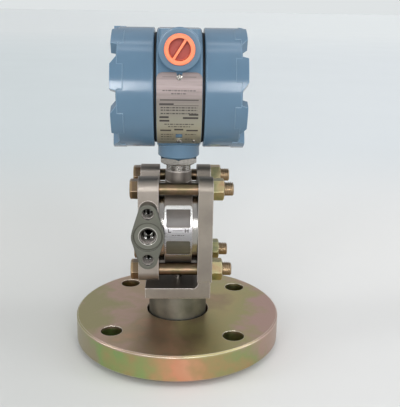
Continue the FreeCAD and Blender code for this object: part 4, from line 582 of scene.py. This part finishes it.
# %% Moulded pieces
def moulded(name, dark, light, rough, relief, scatter=0.0):
    finish, tree, shader = start_finish(name, Subsurface_Weight=scatter, Subsurface_Scale=0.002)
    grain = place_group(tree, GRAIN, Coarse_Scale=70.0, Fine_Scale=1400.0)
    edge = place_group(tree, SOFT_EDGE, Radius=0.0004, Wear_Radius=0.0006)
    tone = ramp(tree, grain.outputs["Coarse"], [(0.3, dark), (0.7, light)])
    tree.links.new(tone, shader.inputs["Base Color"])
    tree.links.new(sum_up(tree, "MULTIPLY_ADD", grain.outputs["Fine"], 0.2, rough - 0.1),
                   shader.inputs["Roughness"])
    bump(tree, shader, grain.outputs["Fine"], relief, edge)
    return finish


FINISHES["orange_plastic"] = moulded("orange_plastic", colour(250, 122, 76), colour(255, 136, 90), 0.42,
                                     0.00003, 0.1)
FINISHES["seal_rubber"] = moulded("seal_rubber", colour(22, 22, 22), colour(34, 33, 32), 0.6, 0.00005)
FINISHES["block_plastic"] = moulded("block_plastic", colour(26, 26, 28), colour(38, 38, 40), 0.45, 0.00004)
FINISHES["board_laminate"] = moulded("board_laminate", colour(24, 92, 58), colour(34, 112, 70), 0.35, 0.00002)
DARK_INK = moulded("dark_ink", colour(52, 47, 45), colour(66, 60, 56), 0.6, 0.00001)
UPPER_PAPER = moulded("upper_paper", colour(70, 65, 60), colour(84, 77, 71), 0.35, 0.00002)
# The lower window is the same paper painted darker, as shade.
SHADED_LOWER_PAPER = moulded("shaded_lower_paper", colour(62, 59, 48), colour(74, 70, 57), 0.35, 0.00002)
print("moulded", len(FINISHES), "finishes in all")

# %% [markdown]
# Deep inside the plug's cup a deeper orange is painted, as shade in the hollow. A disc mask, deep inside the
# cup only, lays it there.

# %% Painted shade in the cup of the thread protector
def paint_cup_shade(finish, painted_cup_shade):
    tree, shader, moulding = fed_by(finish, "Base Color")
    plug, face = middle("conduit_plug"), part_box("conduit_plug")[0][1]
    ring = place_group(tree, RING_MASK, Centre=(plug.x, 0.0, plug.z), Radius=8.7 * MM)
    inside = fade(tree, position(tree)[1], face + 1.0 * MM, face + 5.0 * MM)
    mask = sum_up(tree, "MULTIPLY", ring.outputs["Inside"], inside)
    tree.links.new(blend_colours(tree, mask, moulding, painted_cup_shade), shader.inputs["Base Color"])


paint_cup_shade(FINISHES["orange_plastic"], colour(176, 66, 44))
print("cup shaded in", FINISHES["orange_plastic"].name)

# %% [markdown]
# ## Dressing the solids
# Every solid has a named slot from the CAD model, so a finish is found by that name. Three nodes have
# a finish of their own, because they are the same steel or plating with fields that the others lack.

# %% Dress the CAD nodes
SPECIAL = {"low_side_flange": SPOT_FACED, "sensor_module": NECKED, "flange_nuts": NUT_PLATING}
for name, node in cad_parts.items():
    for slot in node.material_slots:
        key = slot.material.name.split(".")[0]
        slot.material = SPECIAL.get(name, FINISHES[key])
print("dressed", len(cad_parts), "nodes")

# %% [markdown]
# ## Threads
# The CAD model draws every thread as a plain cylinder. A thread could be bump, but its outline would
# stay smooth. Here one Geometry Nodes tree winds a sharp ridge round any axis: a spiral, swept with a
# four-sided profile. The same tree serves the neck, the bolts, the ports and the housing, with other
# numbers in its sockets. It puts one ridge on every start point, so a thread that repeats is one piece.

# %% A geometry node with its settings
def geometry_node(tree, kind, settings=(), **sockets):
    node = tree.nodes.new(kind)
    for key, setting in settings:
        setattr(node, key, setting)
    for key, plain in sockets.items():
        node.inputs[key.replace("_", " ")].default_value = plain
    return node


THREAD_INPUTS = [("Radius", "Float"), ("Pitch", "Float"), ("Length", "Float"), ("Ridge", "Float"),
                 ("Steps", "Int"), ("Finish", "Material")]
print("thread inputs", [label for label, kind in THREAD_INPUTS])

# %% The thread tree
def make_thread_tree():
    tree = bpy.data.node_groups.new("thread", "GeometryNodeTree")
    sockets = {}
    for label, kind in [("Points", "Geometry"), *THREAD_INPUTS]:
        sockets[label] = tree.interface.new_socket(label, in_out="INPUT", socket_type="NodeSocket" + kind)
    tree.interface.new_socket("Geometry", in_out="OUTPUT", socket_type="NodeSocketGeometry")
    given = tree.nodes.new("NodeGroupInput")
    turns = geometry_node(tree, "ShaderNodeMath", [("operation", "DIVIDE")])
    tree.links.new(given.outputs["Length"], turns.inputs[0])
    tree.links.new(given.outputs["Pitch"], turns.inputs[1])
    spiral = geometry_node(tree, "GeometryNodeCurveSpiral")
    for label, source in (("Resolution", given.outputs["Steps"]), ("Rotations", turns.outputs[0]),
                          ("Start Radius", given.outputs["Radius"]), ("End Radius", given.outputs["Radius"]),
                          ("Height", given.outputs["Length"])):
        tree.links.new(source, spiral.inputs[label])
    upright = geometry_node(tree, "GeometryNodeSetCurveNormal", [("mode", "Z_UP")])
    tree.links.new(spiral.outputs[0], upright.inputs["Curve"])
    profile = geometry_node(tree, "GeometryNodeCurvePrimitiveCircle", Resolution=4)
    tree.links.new(given.outputs["Ridge"], profile.inputs["Radius"])
    sweep = geometry_node(tree, "GeometryNodeCurveToMesh", Fill_Caps=True)
    tree.links.new(upright.outputs[0], sweep.inputs["Curve"])
    tree.links.new(profile.outputs[0], sweep.inputs["Profile Curve"])
    flat = geometry_node(tree, "GeometryNodeSetShadeSmooth", Shade_Smooth=False)
    tree.links.new(sweep.outputs[0], flat.inputs[0])
    copies = geometry_node(tree, "GeometryNodeInstanceOnPoints")
    tree.links.new(given.outputs["Points"], copies.inputs["Points"])
    tree.links.new(flat.outputs[0], copies.inputs["Instance"])
    real = geometry_node(tree, "GeometryNodeRealizeInstances")
    tree.links.new(copies.outputs[0], real.inputs[0])
    dressed = geometry_node(tree, "GeometryNodeSetMaterial")
    tree.links.new(real.outputs[0], dressed.inputs["Geometry"])
    tree.links.new(given.outputs["Finish"], dressed.inputs["Material"])
    result = tree.nodes.new("NodeGroupOutput")
    tree.links.new(dressed.outputs[0], result.inputs[0])
    return tree, {label: socket.identifier for label, socket in sockets.items()}


THREAD, THREAD_SOCKETS = make_thread_tree()
print("thread tree", len(THREAD.nodes), "nodes")

# %% [markdown]
# The tree winds along +Z. For another axis the start points are turned back first and the mesh is
# turned forward after, so that the finished object stays at the origin and unturned. The result becomes
# a plain mesh before it rides on a body.

# %% Wind a thread
TURN_TO = {"X": Matrix.Rotation(math.radians(90), 4, "Y"),
           "Y": Matrix.Rotation(math.radians(-90), 4, "X"), "Z": Matrix.Identity(4)}


def add_piece(name, mesh, body):
    """A mesh at the origin that rides on a body."""
    piece = bpy.data.objects.new(name, mesh)
    bpy.context.collection.objects.link(piece)
    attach(piece, body)
    return piece


def thread(name, body, axis, starts, radius, pitch, length, ridge, finish, steps=40):
    """Ridges from each start along +X, +Y or +Z, as one piece."""
    back = TURN_TO[axis].inverted()
    seed = bpy.data.meshes.new(name + "_starts")
    seed.from_pydata([back @ Vector(start) for start in starts], [], [])
    carrier = bpy.data.objects.new(name + "_carrier", seed)
    bpy.context.collection.objects.link(carrier)
    winding = carrier.modifiers.new("thread", "NODES")
    winding.node_group = THREAD
    for label, plain in (("Radius", radius), ("Pitch", pitch), ("Length", length), ("Ridge", ridge),
                         ("Steps", steps), ("Finish", finish)):
        winding[THREAD_SOCKETS[label]] = plain
    bpy.context.view_layer.update()
    mesh = bpy.data.meshes.new_from_object(carrier.evaluated_get(bpy.context.evaluated_depsgraph_get()))
    mesh.transform(TURN_TO[axis])
    mesh.name = name
    bpy.data.objects.remove(carrier)
    return add_piece(name, mesh, body)


# %% [markdown]
# The neck thread shows between the lock nut and the sensor, and the bolts' threads past their nuts.
# Both stand on plain cylinders, so the ridge is half sunk and its crest reaches the true diameter.

# %% Threads of the neck and the bolts
nut_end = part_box("flange_nuts")[1][0]
bolt_ends = [(nut_end, side * BOLT_SIDE, MODULE_HEIGHT + up * BOLT_RISE)
             for side in (1, -1) for up in (1, -1)]
threads = [
    thread("neck_thread", "process", "Z", [(0, 0, NUT_LEVEL - 5.6 * MM)], radius=NECK_RADIUS,
           pitch=1.4 * MM, length=5.6 * MM, ridge=0.35 * MM, finish=FINISHES["screw_steel"]),
    thread("bolt_threads", "process", "X", bolt_ends, radius=BOLT_RADIUS, pitch=1.6 * MM,
           length=7.2 * MM, ridge=0.45 * MM, finish=FINISHES["bolt_plating"], steps=28),
]
print("threads", [(piece.name, len(piece.data.polygons)) for piece in threads])

# %% [markdown]
# The low side flange has a threaded port and two holes for an adapter's bolts. A ridge on the wall of
# a bore is the crest of an inside thread.

# %% Threads of the low side flange
flange_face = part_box("low_side_flange")[0][1]
steel = FINISHES["cast_stainless"]
holes = [(PORT_X, flange_face + 0.8 * MM, MODULE_HEIGHT + end * ADAPTER_RISE) for end in (1, -1)]
ports = [
    thread("port_thread", "process", "Y", [(PORT_X, flange_face + 2.4 * MM, MODULE_HEIGHT)],
           radius=PORT_RADIUS, pitch=1.4 * MM, length=12 * MM, ridge=0.45 * MM, finish=steel),
    thread("adapter_threads", "process", "Y", holes, radius=ADAPTER_RADIUS, pitch=1.8 * MM,
           length=13 * MM, ridge=0.5 * MM, finish=steel, steps=28),
]
print("threads", [(piece.name, len(piece.data.polygons)) for piece in ports])

# %% [markdown]
# The housing's threads show when a cover is off and in the open conduit entry at the back. They are
# painted over, so they take the enamel, and they ride with the housing.

# %% Threads of the housing: under the covers and in the rear entry
paint = FINISHES["blue_paint"]
house_low, house_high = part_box("housing")
spigots = [(house_high[0] - 21.5 * MM, 0, HOUSING_HEIGHT), (house_low[0] + 1.0 * MM, 0, HOUSING_HEIGHT)]
entry = [(0, house_high[1] - 18 * MM, HOUSING_HEIGHT + CONDUIT_RISE)]
painted = [
    thread("spigot_threads", "housing", "X", spigots, radius=SPIGOT_RADIUS - 0.1 * MM,
           pitch=2.117 * MM, length=20 * MM, ridge=0.3 * MM, finish=paint, steps=72),
    thread("rear_entry_thread", "housing", "Y", entry, radius=CONDUIT_RADIUS, pitch=1.81 * MM,
           length=17 * MM, ridge=0.6 * MM, finish=paint),
]
print("threads", [(piece.name, len(piece.data.polygons)) for piece in painted])

# %% [markdown]
# ## Print on the plates
# The nameplate is bent round the housing, so a printed field is a patch of the same cylinder, a hair
# above the sheet. A field is given by its sides in millimetres from the middle of the plate and by its
# height in degrees above the axis. The fields are blank or ruled, with no words, and patches keep a
# sharp edge at any distance, where a texture would blur.

# %% Curved fields
def curved_fields(name, body, axis_height, radius, fields, finish):
    """Patches of a cylinder along X that faces the front, as one piece."""
    points, faces = [], []
    for left, right, low, high in fields:
        steps = max(1, math.ceil((high - low) / 3))
        first = len(points)
        for step in range(steps + 1):
            angle = math.radians(low + (high - low) * step / steps)
            depth, height = -radius * math.cos(angle), axis_height + radius * math.sin(angle)
            points += [(left * MM, depth, height), (right * MM, depth, height)]
        faces += [(first + 2 * step, first + 2 * step + 1, first + 2 * step + 3, first + 2 * step + 2)
                  for step in range(steps)]
    mesh = bpy.data.meshes.new(name)
    mesh.from_pydata(points, [], faces)
    mesh.materials.append(finish)
    return add_piece(name, mesh, body)


def ruled(left, right, middle_angle, thick=0.6):
    """A field as wide as given and as thick as a printed line, in degrees."""
    return (left, right, middle_angle - thick / 2, middle_angle + thick / 2)


def word_fields(angle, left, right, thick=1.0):
    """A row of short dashes of uneven length, like a line of small print."""
    fields, place, step = [], left, 0
    while place < right:
        length = (1.9, 1.2, 2.6, 0.9, 2.2)[step % 5]
        fields.append(ruled(place, min(place + length, right), angle, thick))
        place, step = place + length + 0.7, step + 1
    return fields


print("one printed line is", ruled(-15.5, 15.5, 0.0))

# %% [markdown]
# A nameplate has ruled lines, rows of small print and bars where values are stamped. Three tables hold
# them, each row with its left end, its right end and its angle, and thin lines also their thickness.
# All of the plate's print is one piece that rides on the housing.

# %% Print of the nameplate
RULES = [(-13.5, -2.9, 15.8, 0.5), (2.9, 13.5, 15.8, 0.5), (-15.5, 15.5, -4.4, 1.1),
         (-4.5, 15.5, -9.3, 0.4), (-16.5, 16.5, -54.4, 0.5)]
SMALL_PRINT = [(-13.5, 13.5, 3.9), (-6.5, 6.0, 1.2), (-15.0, 14.5, -11.4), (-15.0, 14.5, -13.8),
               (-15.0, 14.5, -17.0), (-12.0, 12.0, -28.2), (-9.0, 9.0, -31.0), (-15.0, -5.0, -41.0),
               (-15.0, -6.0, -44.6), (5.0, 14.5, -41.0), (-15.0, -4.0, -48.6), (5.0, 11.0, -48.6)]
BARS = [(-16.0, -4.5, -8.3), (-16.0, -8.5, -20.7), (8.0, 15.5, -18.0), (3.0, 15.5, -21.4),
        (-16.0, -8.0, -24.4), (-15.5, -6.5, -35.6), (-4.0, 3.5, -34.6), (6.0, 15.5, -35.6)]
PRINT_LIFT = 0.04 * MM

plate_fields = [ruled(*row) for row in RULES] + [ruled(*row, 1.9) for row in BARS]
for left, right, angle in SMALL_PRINT:
    plate_fields += word_fields(angle, left, right)
plate_radius = -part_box("nameplate")[0][1]
plate_print = curved_fields("nameplate_print", "housing", HOUSING_HEIGHT, plate_radius + PRINT_LIFT,
                            plate_fields, DARK_INK)
print(plate_print.name, len(plate_fields), "fields")

# %% [markdown]
# The sensor's tag is an open frame with two paper labels behind it. It names the low and the high
# pressure side with one letter each, as every such sensor does, and a letter of straight strokes is
# two or three small fields.

# %% Print of the sensor tag
tag_radius = -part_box("sensor_tag")[0][1]
UPPER_WINDOW, LOWER_WINDOW = (-10.5, 10.5, 8.6, 30.8), (-10.5, 10.5, -30.3, -9.0)
LETTER_L = [(-8.9, -8.1, 1.8, 6.2), (-8.9, -6.2, 1.6, 2.7)]
LETTER_H = [(5.6, 6.4, 1.8, 6.2), (8.0, 8.8, 1.8, 6.2), (6.4, 8.0, 3.5, 4.6)]
tag_fields = LETTER_L + LETTER_H + [ruled(-5.0, 4.0, 4.2, 0.6)] + word_fields(-1.8, -5.5, 5.0, 0.8)
for name, lift, fields, finish in (("upper_window", -0.2 * MM, [UPPER_WINDOW], UPPER_PAPER),
                                   ("lower_window", -0.2 * MM, [LOWER_WINDOW], SHADED_LOWER_PAPER),
                                   ("tag_print", PRINT_LIFT, tag_fields, DARK_INK)):
    piece = curved_fields(name, "process", MODULE_HEIGHT, tag_radius + lift, fields, finish)
    print(piece.name, len(fields), "fields")

# %% [markdown]
# ## Floor, light and camera
# A studio floor is a roll of pale paper. Here it is one plane that runs so far back that its end melts into
# the background. Its colour, not more light, makes it pale. The colour also holds painted light: it is
# painted lighter from left to right, as light from the right, and a little darker and bluer behind the
# instrument, as painted shade. Sideways it follows the direction seen from the camera, so the change is as
# wide far away as it is near.

# %% Floor
CAMERA_PLACE = (-0.0029, -0.58317, 0.30202)


def studio_floor(reach):
    mesh = bpy.data.meshes.new("studio_floor")
    mesh.from_pydata([(-reach, -reach, 0), (reach, -reach, 0), (reach, reach, 0), (-reach, reach, 0)],
                     [], [(0, 1, 2, 3)])
    floor = bpy.data.objects.new("studio_floor", mesh)
    bpy.context.collection.objects.link(floor)
    finish, tree, shader = start_finish("floor_paper", Roughness=0.9, Specular_IOR_Level=0.1)
    beside, depth, _ = position(tree)
    away = sum_up(tree, "MAXIMUM", sum_up(tree, "SUBTRACT", depth, CAMERA_PLACE[1]), 0.1)
    # Painted light: the floor's colour gets lighter to the right, as if lit from there, and darker and bluer
    # behind the instrument, as painted shade.
    painted_light_to_right = fade(tree, sum_up(tree, "DIVIDE", beside, away), -0.3, 0.3)
    near, behind, far = [blend_colours(tree, painted_light_to_right, left, right) for left, right in (
        (colour(207, 208, 205), colour(225, 225, 223)), (colour(201, 208, 209), colour(215, 220, 222)),
        (colour(210, 214, 214), colour(222, 226, 226)))]
    tone = blend_colours(tree, fade(tree, depth, 0.2, 1.0), near, behind)
    tone = blend_colours(tree, fade(tree, depth, 3.0, 10.0), tone, far)
    grain = place_group(tree, GRAIN, Coarse_Scale=2.0, Fine_Scale=300.0)
    mottled = ramp(tree, grain.outputs["Coarse"], even_stops([colour(251, 251, 251), colour(255, 255, 255)],
                                                             0.2, 0.8))
    paper = add_node(tree, "Mix", [("data_type", "RGBA"), ("blend_type", "MULTIPLY")])
    paper.inputs[0].default_value = 1.0
    tree.links.new(tone, paper.inputs[6])
    tree.links.new(mottled, paper.inputs[7])
    tree.links.new(paper.outputs[2], shader.inputs["Base Color"])
    mesh.materials.append(finish)
    return floor


floor = studio_floor(reach=400.0)
print("floor", floor.dimensions[:])

# %% [markdown]
# The light comes from all round, as in a small tent of white cloth, so the paint keeps its own colour.
# Bright soft boxes stand in it, and round metal and satin paint show each as a long streak. Area lamps
# could do that too, but drawn in the world they cost no shadow rays. A soft box is a mask over the
# direction of a ray: how far round and how far up it points, in degrees.

# %% Soft box mask: 1 inside a box of directions, faded over a few degrees
def make_soft_box():
    group, given, result = new_group(
        "soft_box", [("Across", "Float", 0.0), ("Up", "Float", 0.0), ("Left", "Float", -10.0),
                     ("Right", "Float", 10.0), ("Low", "Float", 0.0), ("High", "Float", 20.0),
                     ("Fade", "Float", 1.5)], [("Mask", "Float")])
    mask = None
    for source, bound, start, end in (("Across", "Left", -1.0, 1.0), ("Across", "Right", 1.0, -1.0),
                                      ("Up", "Low", -1.0, 1.0), ("Up", "High", 1.0, -1.0)):
        past = sum_up(group, "SUBTRACT", given.outputs[source], given.outputs[bound])
        side = fade(group, sum_up(group, "DIVIDE", past, given.outputs["Fade"]), start, end)
        mask = sum_up(group, "MULTIPLY", mask, side) if mask else side
    group.links.new(mask, result.inputs["Mask"])
    return group


SOFT_BOX = make_soft_box()
print("group", SOFT_BOX.name)

# %% [markdown]
# Two narrow boxes stand low, left and right of the camera: they leave the bright line along the covers
# and the pair of streaks on round metal. Wider, weaker ones stand further round and at the sides, and
# a ring hangs overhead. The cloth itself is a little darker near the floor. Rays from the camera see a
# plain pale background in place of the boxes, and the light on the instrument isn't changed by that.

# %% Light tent
# Each box: from and to round the instrument, from and to upward, in degrees, and how bright it is.
SOFT_BOXES = [(-12, -4.4, 0.5, 17, 24.0), (3.8, 13, 0.5, 18, 12.0),
              (-38, -26, 5, 38, 4.0), (18, 30, 5, 38, 4.0),
              (-86, -74, 0, 40, 5.0), (74, 86, 0, 40, 5.0), (-180, 180, 78, 84, 2.6)]


def light_tent():
    world = bpy.data.worlds.new("light_tent")
    bpy.context.scene.world = world
    world.use_nodes = True
    tree = world.node_tree
    place = add_node(tree, "TexCoord")
    parts = add_node(tree, "SeparateXYZ")
    tree.links.new(place.outputs["Generated"], parts.inputs[0])
    toward = sum_up(tree, "MULTIPLY", parts.outputs["Y"], -1.0)
    across = sum_up(tree, "DEGREES", sum_up(tree, "ARCTAN2", parts.outputs["X"], toward))
    up = sum_up(tree, "DEGREES", sum_up(tree, "ARCSINE", parts.outputs["Z"]))
    cloth = fade(tree, up, 0.0, 70.0, 0.5, 0.68)
    for left, right, low, high, gain in SOFT_BOXES:
        box = place_group(tree, SOFT_BOX, Left=left, Right=right, Low=low, High=high)
        tree.links.new(across, box.inputs["Across"])
        tree.links.new(up, box.inputs["Up"])
        cloth = sum_up(tree, "MULTIPLY_ADD", box.outputs["Mask"], gain, cloth)
    ray = add_node(tree, "LightPath")
    seen = sum_up(tree, "MULTIPLY_ADD", ray.outputs["Is Camera Ray"], -1.0, 1.0)
    lit = sum_up(tree, "MULTIPLY", seen, cloth)
    sky = tree.nodes["Background"]
    shade = blend_colours(tree, ray.outputs["Is Camera Ray"], colour(252, 253, 255), colour(223, 227, 228))
    tree.links.new(shade, sky.inputs["Color"])
    tree.links.new(sum_up(tree, "ADD", lit, ray.outputs["Is Camera Ray"]), sky.inputs["Strength"])
    return world


tent = light_tent()
print("tent", len(tent.node_tree.nodes), "nodes")

# %% [markdown]
# A window to the right gives the instrument a soft, faint shadow on its left. A sun lamp with a wide
# angle is the simplest such light, because its strength doesn't change with distance.

# %% Window light
def window_light(name, azimuth, elevation, spread, strength):
    light = bpy.data.lights.new(name, "SUN")
    light.energy, light.angle = strength, math.radians(spread)
    stand = bpy.data.objects.new(name, light)
    bpy.context.collection.objects.link(stand)
    side, rise = math.radians(azimuth), math.radians(elevation)
    toward = Vector((math.sin(side) * math.cos(rise), -math.cos(side) * math.cos(rise), math.sin(rise)))
    stand.rotation_euler = toward.to_track_quat("Z", "Y").to_euler()
    return stand


window = window_light("window", azimuth=60, elevation=50, spread=60, strength=0.4)
print("light", window.name)

# %% [markdown]
# The camera stands just above the covers and looks down a little, close enough to show the tops of the
# flanges. Yaw, pitch and roll are easier to read than a matrix, so the matrix is built from them. The
# lens length follows from the sensor's width and the frame's longer side.

# %% Camera
def aim_camera():
    yaw, pitch, roll = (math.radians(angle) for angle in (2.24, 16.18, 0.94))
    ahead = Vector((math.sin(yaw) * math.cos(pitch), math.cos(yaw) * math.cos(pitch), -math.sin(pitch)))
    right = ahead.cross(Vector((0, 0, 1))).normalized()
    up = right.cross(ahead)
    across = math.cos(roll) * right + math.sin(roll) * up
    rise = -math.sin(roll) * right + math.cos(roll) * up
    camera = bpy.data.objects.new("camera", bpy.data.cameras.new("camera"))
    bpy.context.collection.objects.link(camera)
    turned = Matrix((across, rise, -ahead)).transposed().to_4x4()
    camera.matrix_world = Matrix.Translation(CAMERA_PLACE) @ turned
    camera.data.sensor_width = 36.0
    camera.data.lens = 662.06 / 407 * camera.data.sensor_width
    camera.data.clip_start = 0.02
    bpy.context.scene.camera = camera
    return camera


camera = aim_camera()
bpy.context.scene.view_settings.view_transform = "Standard"
print("camera lens", round(camera.data.lens, 2))
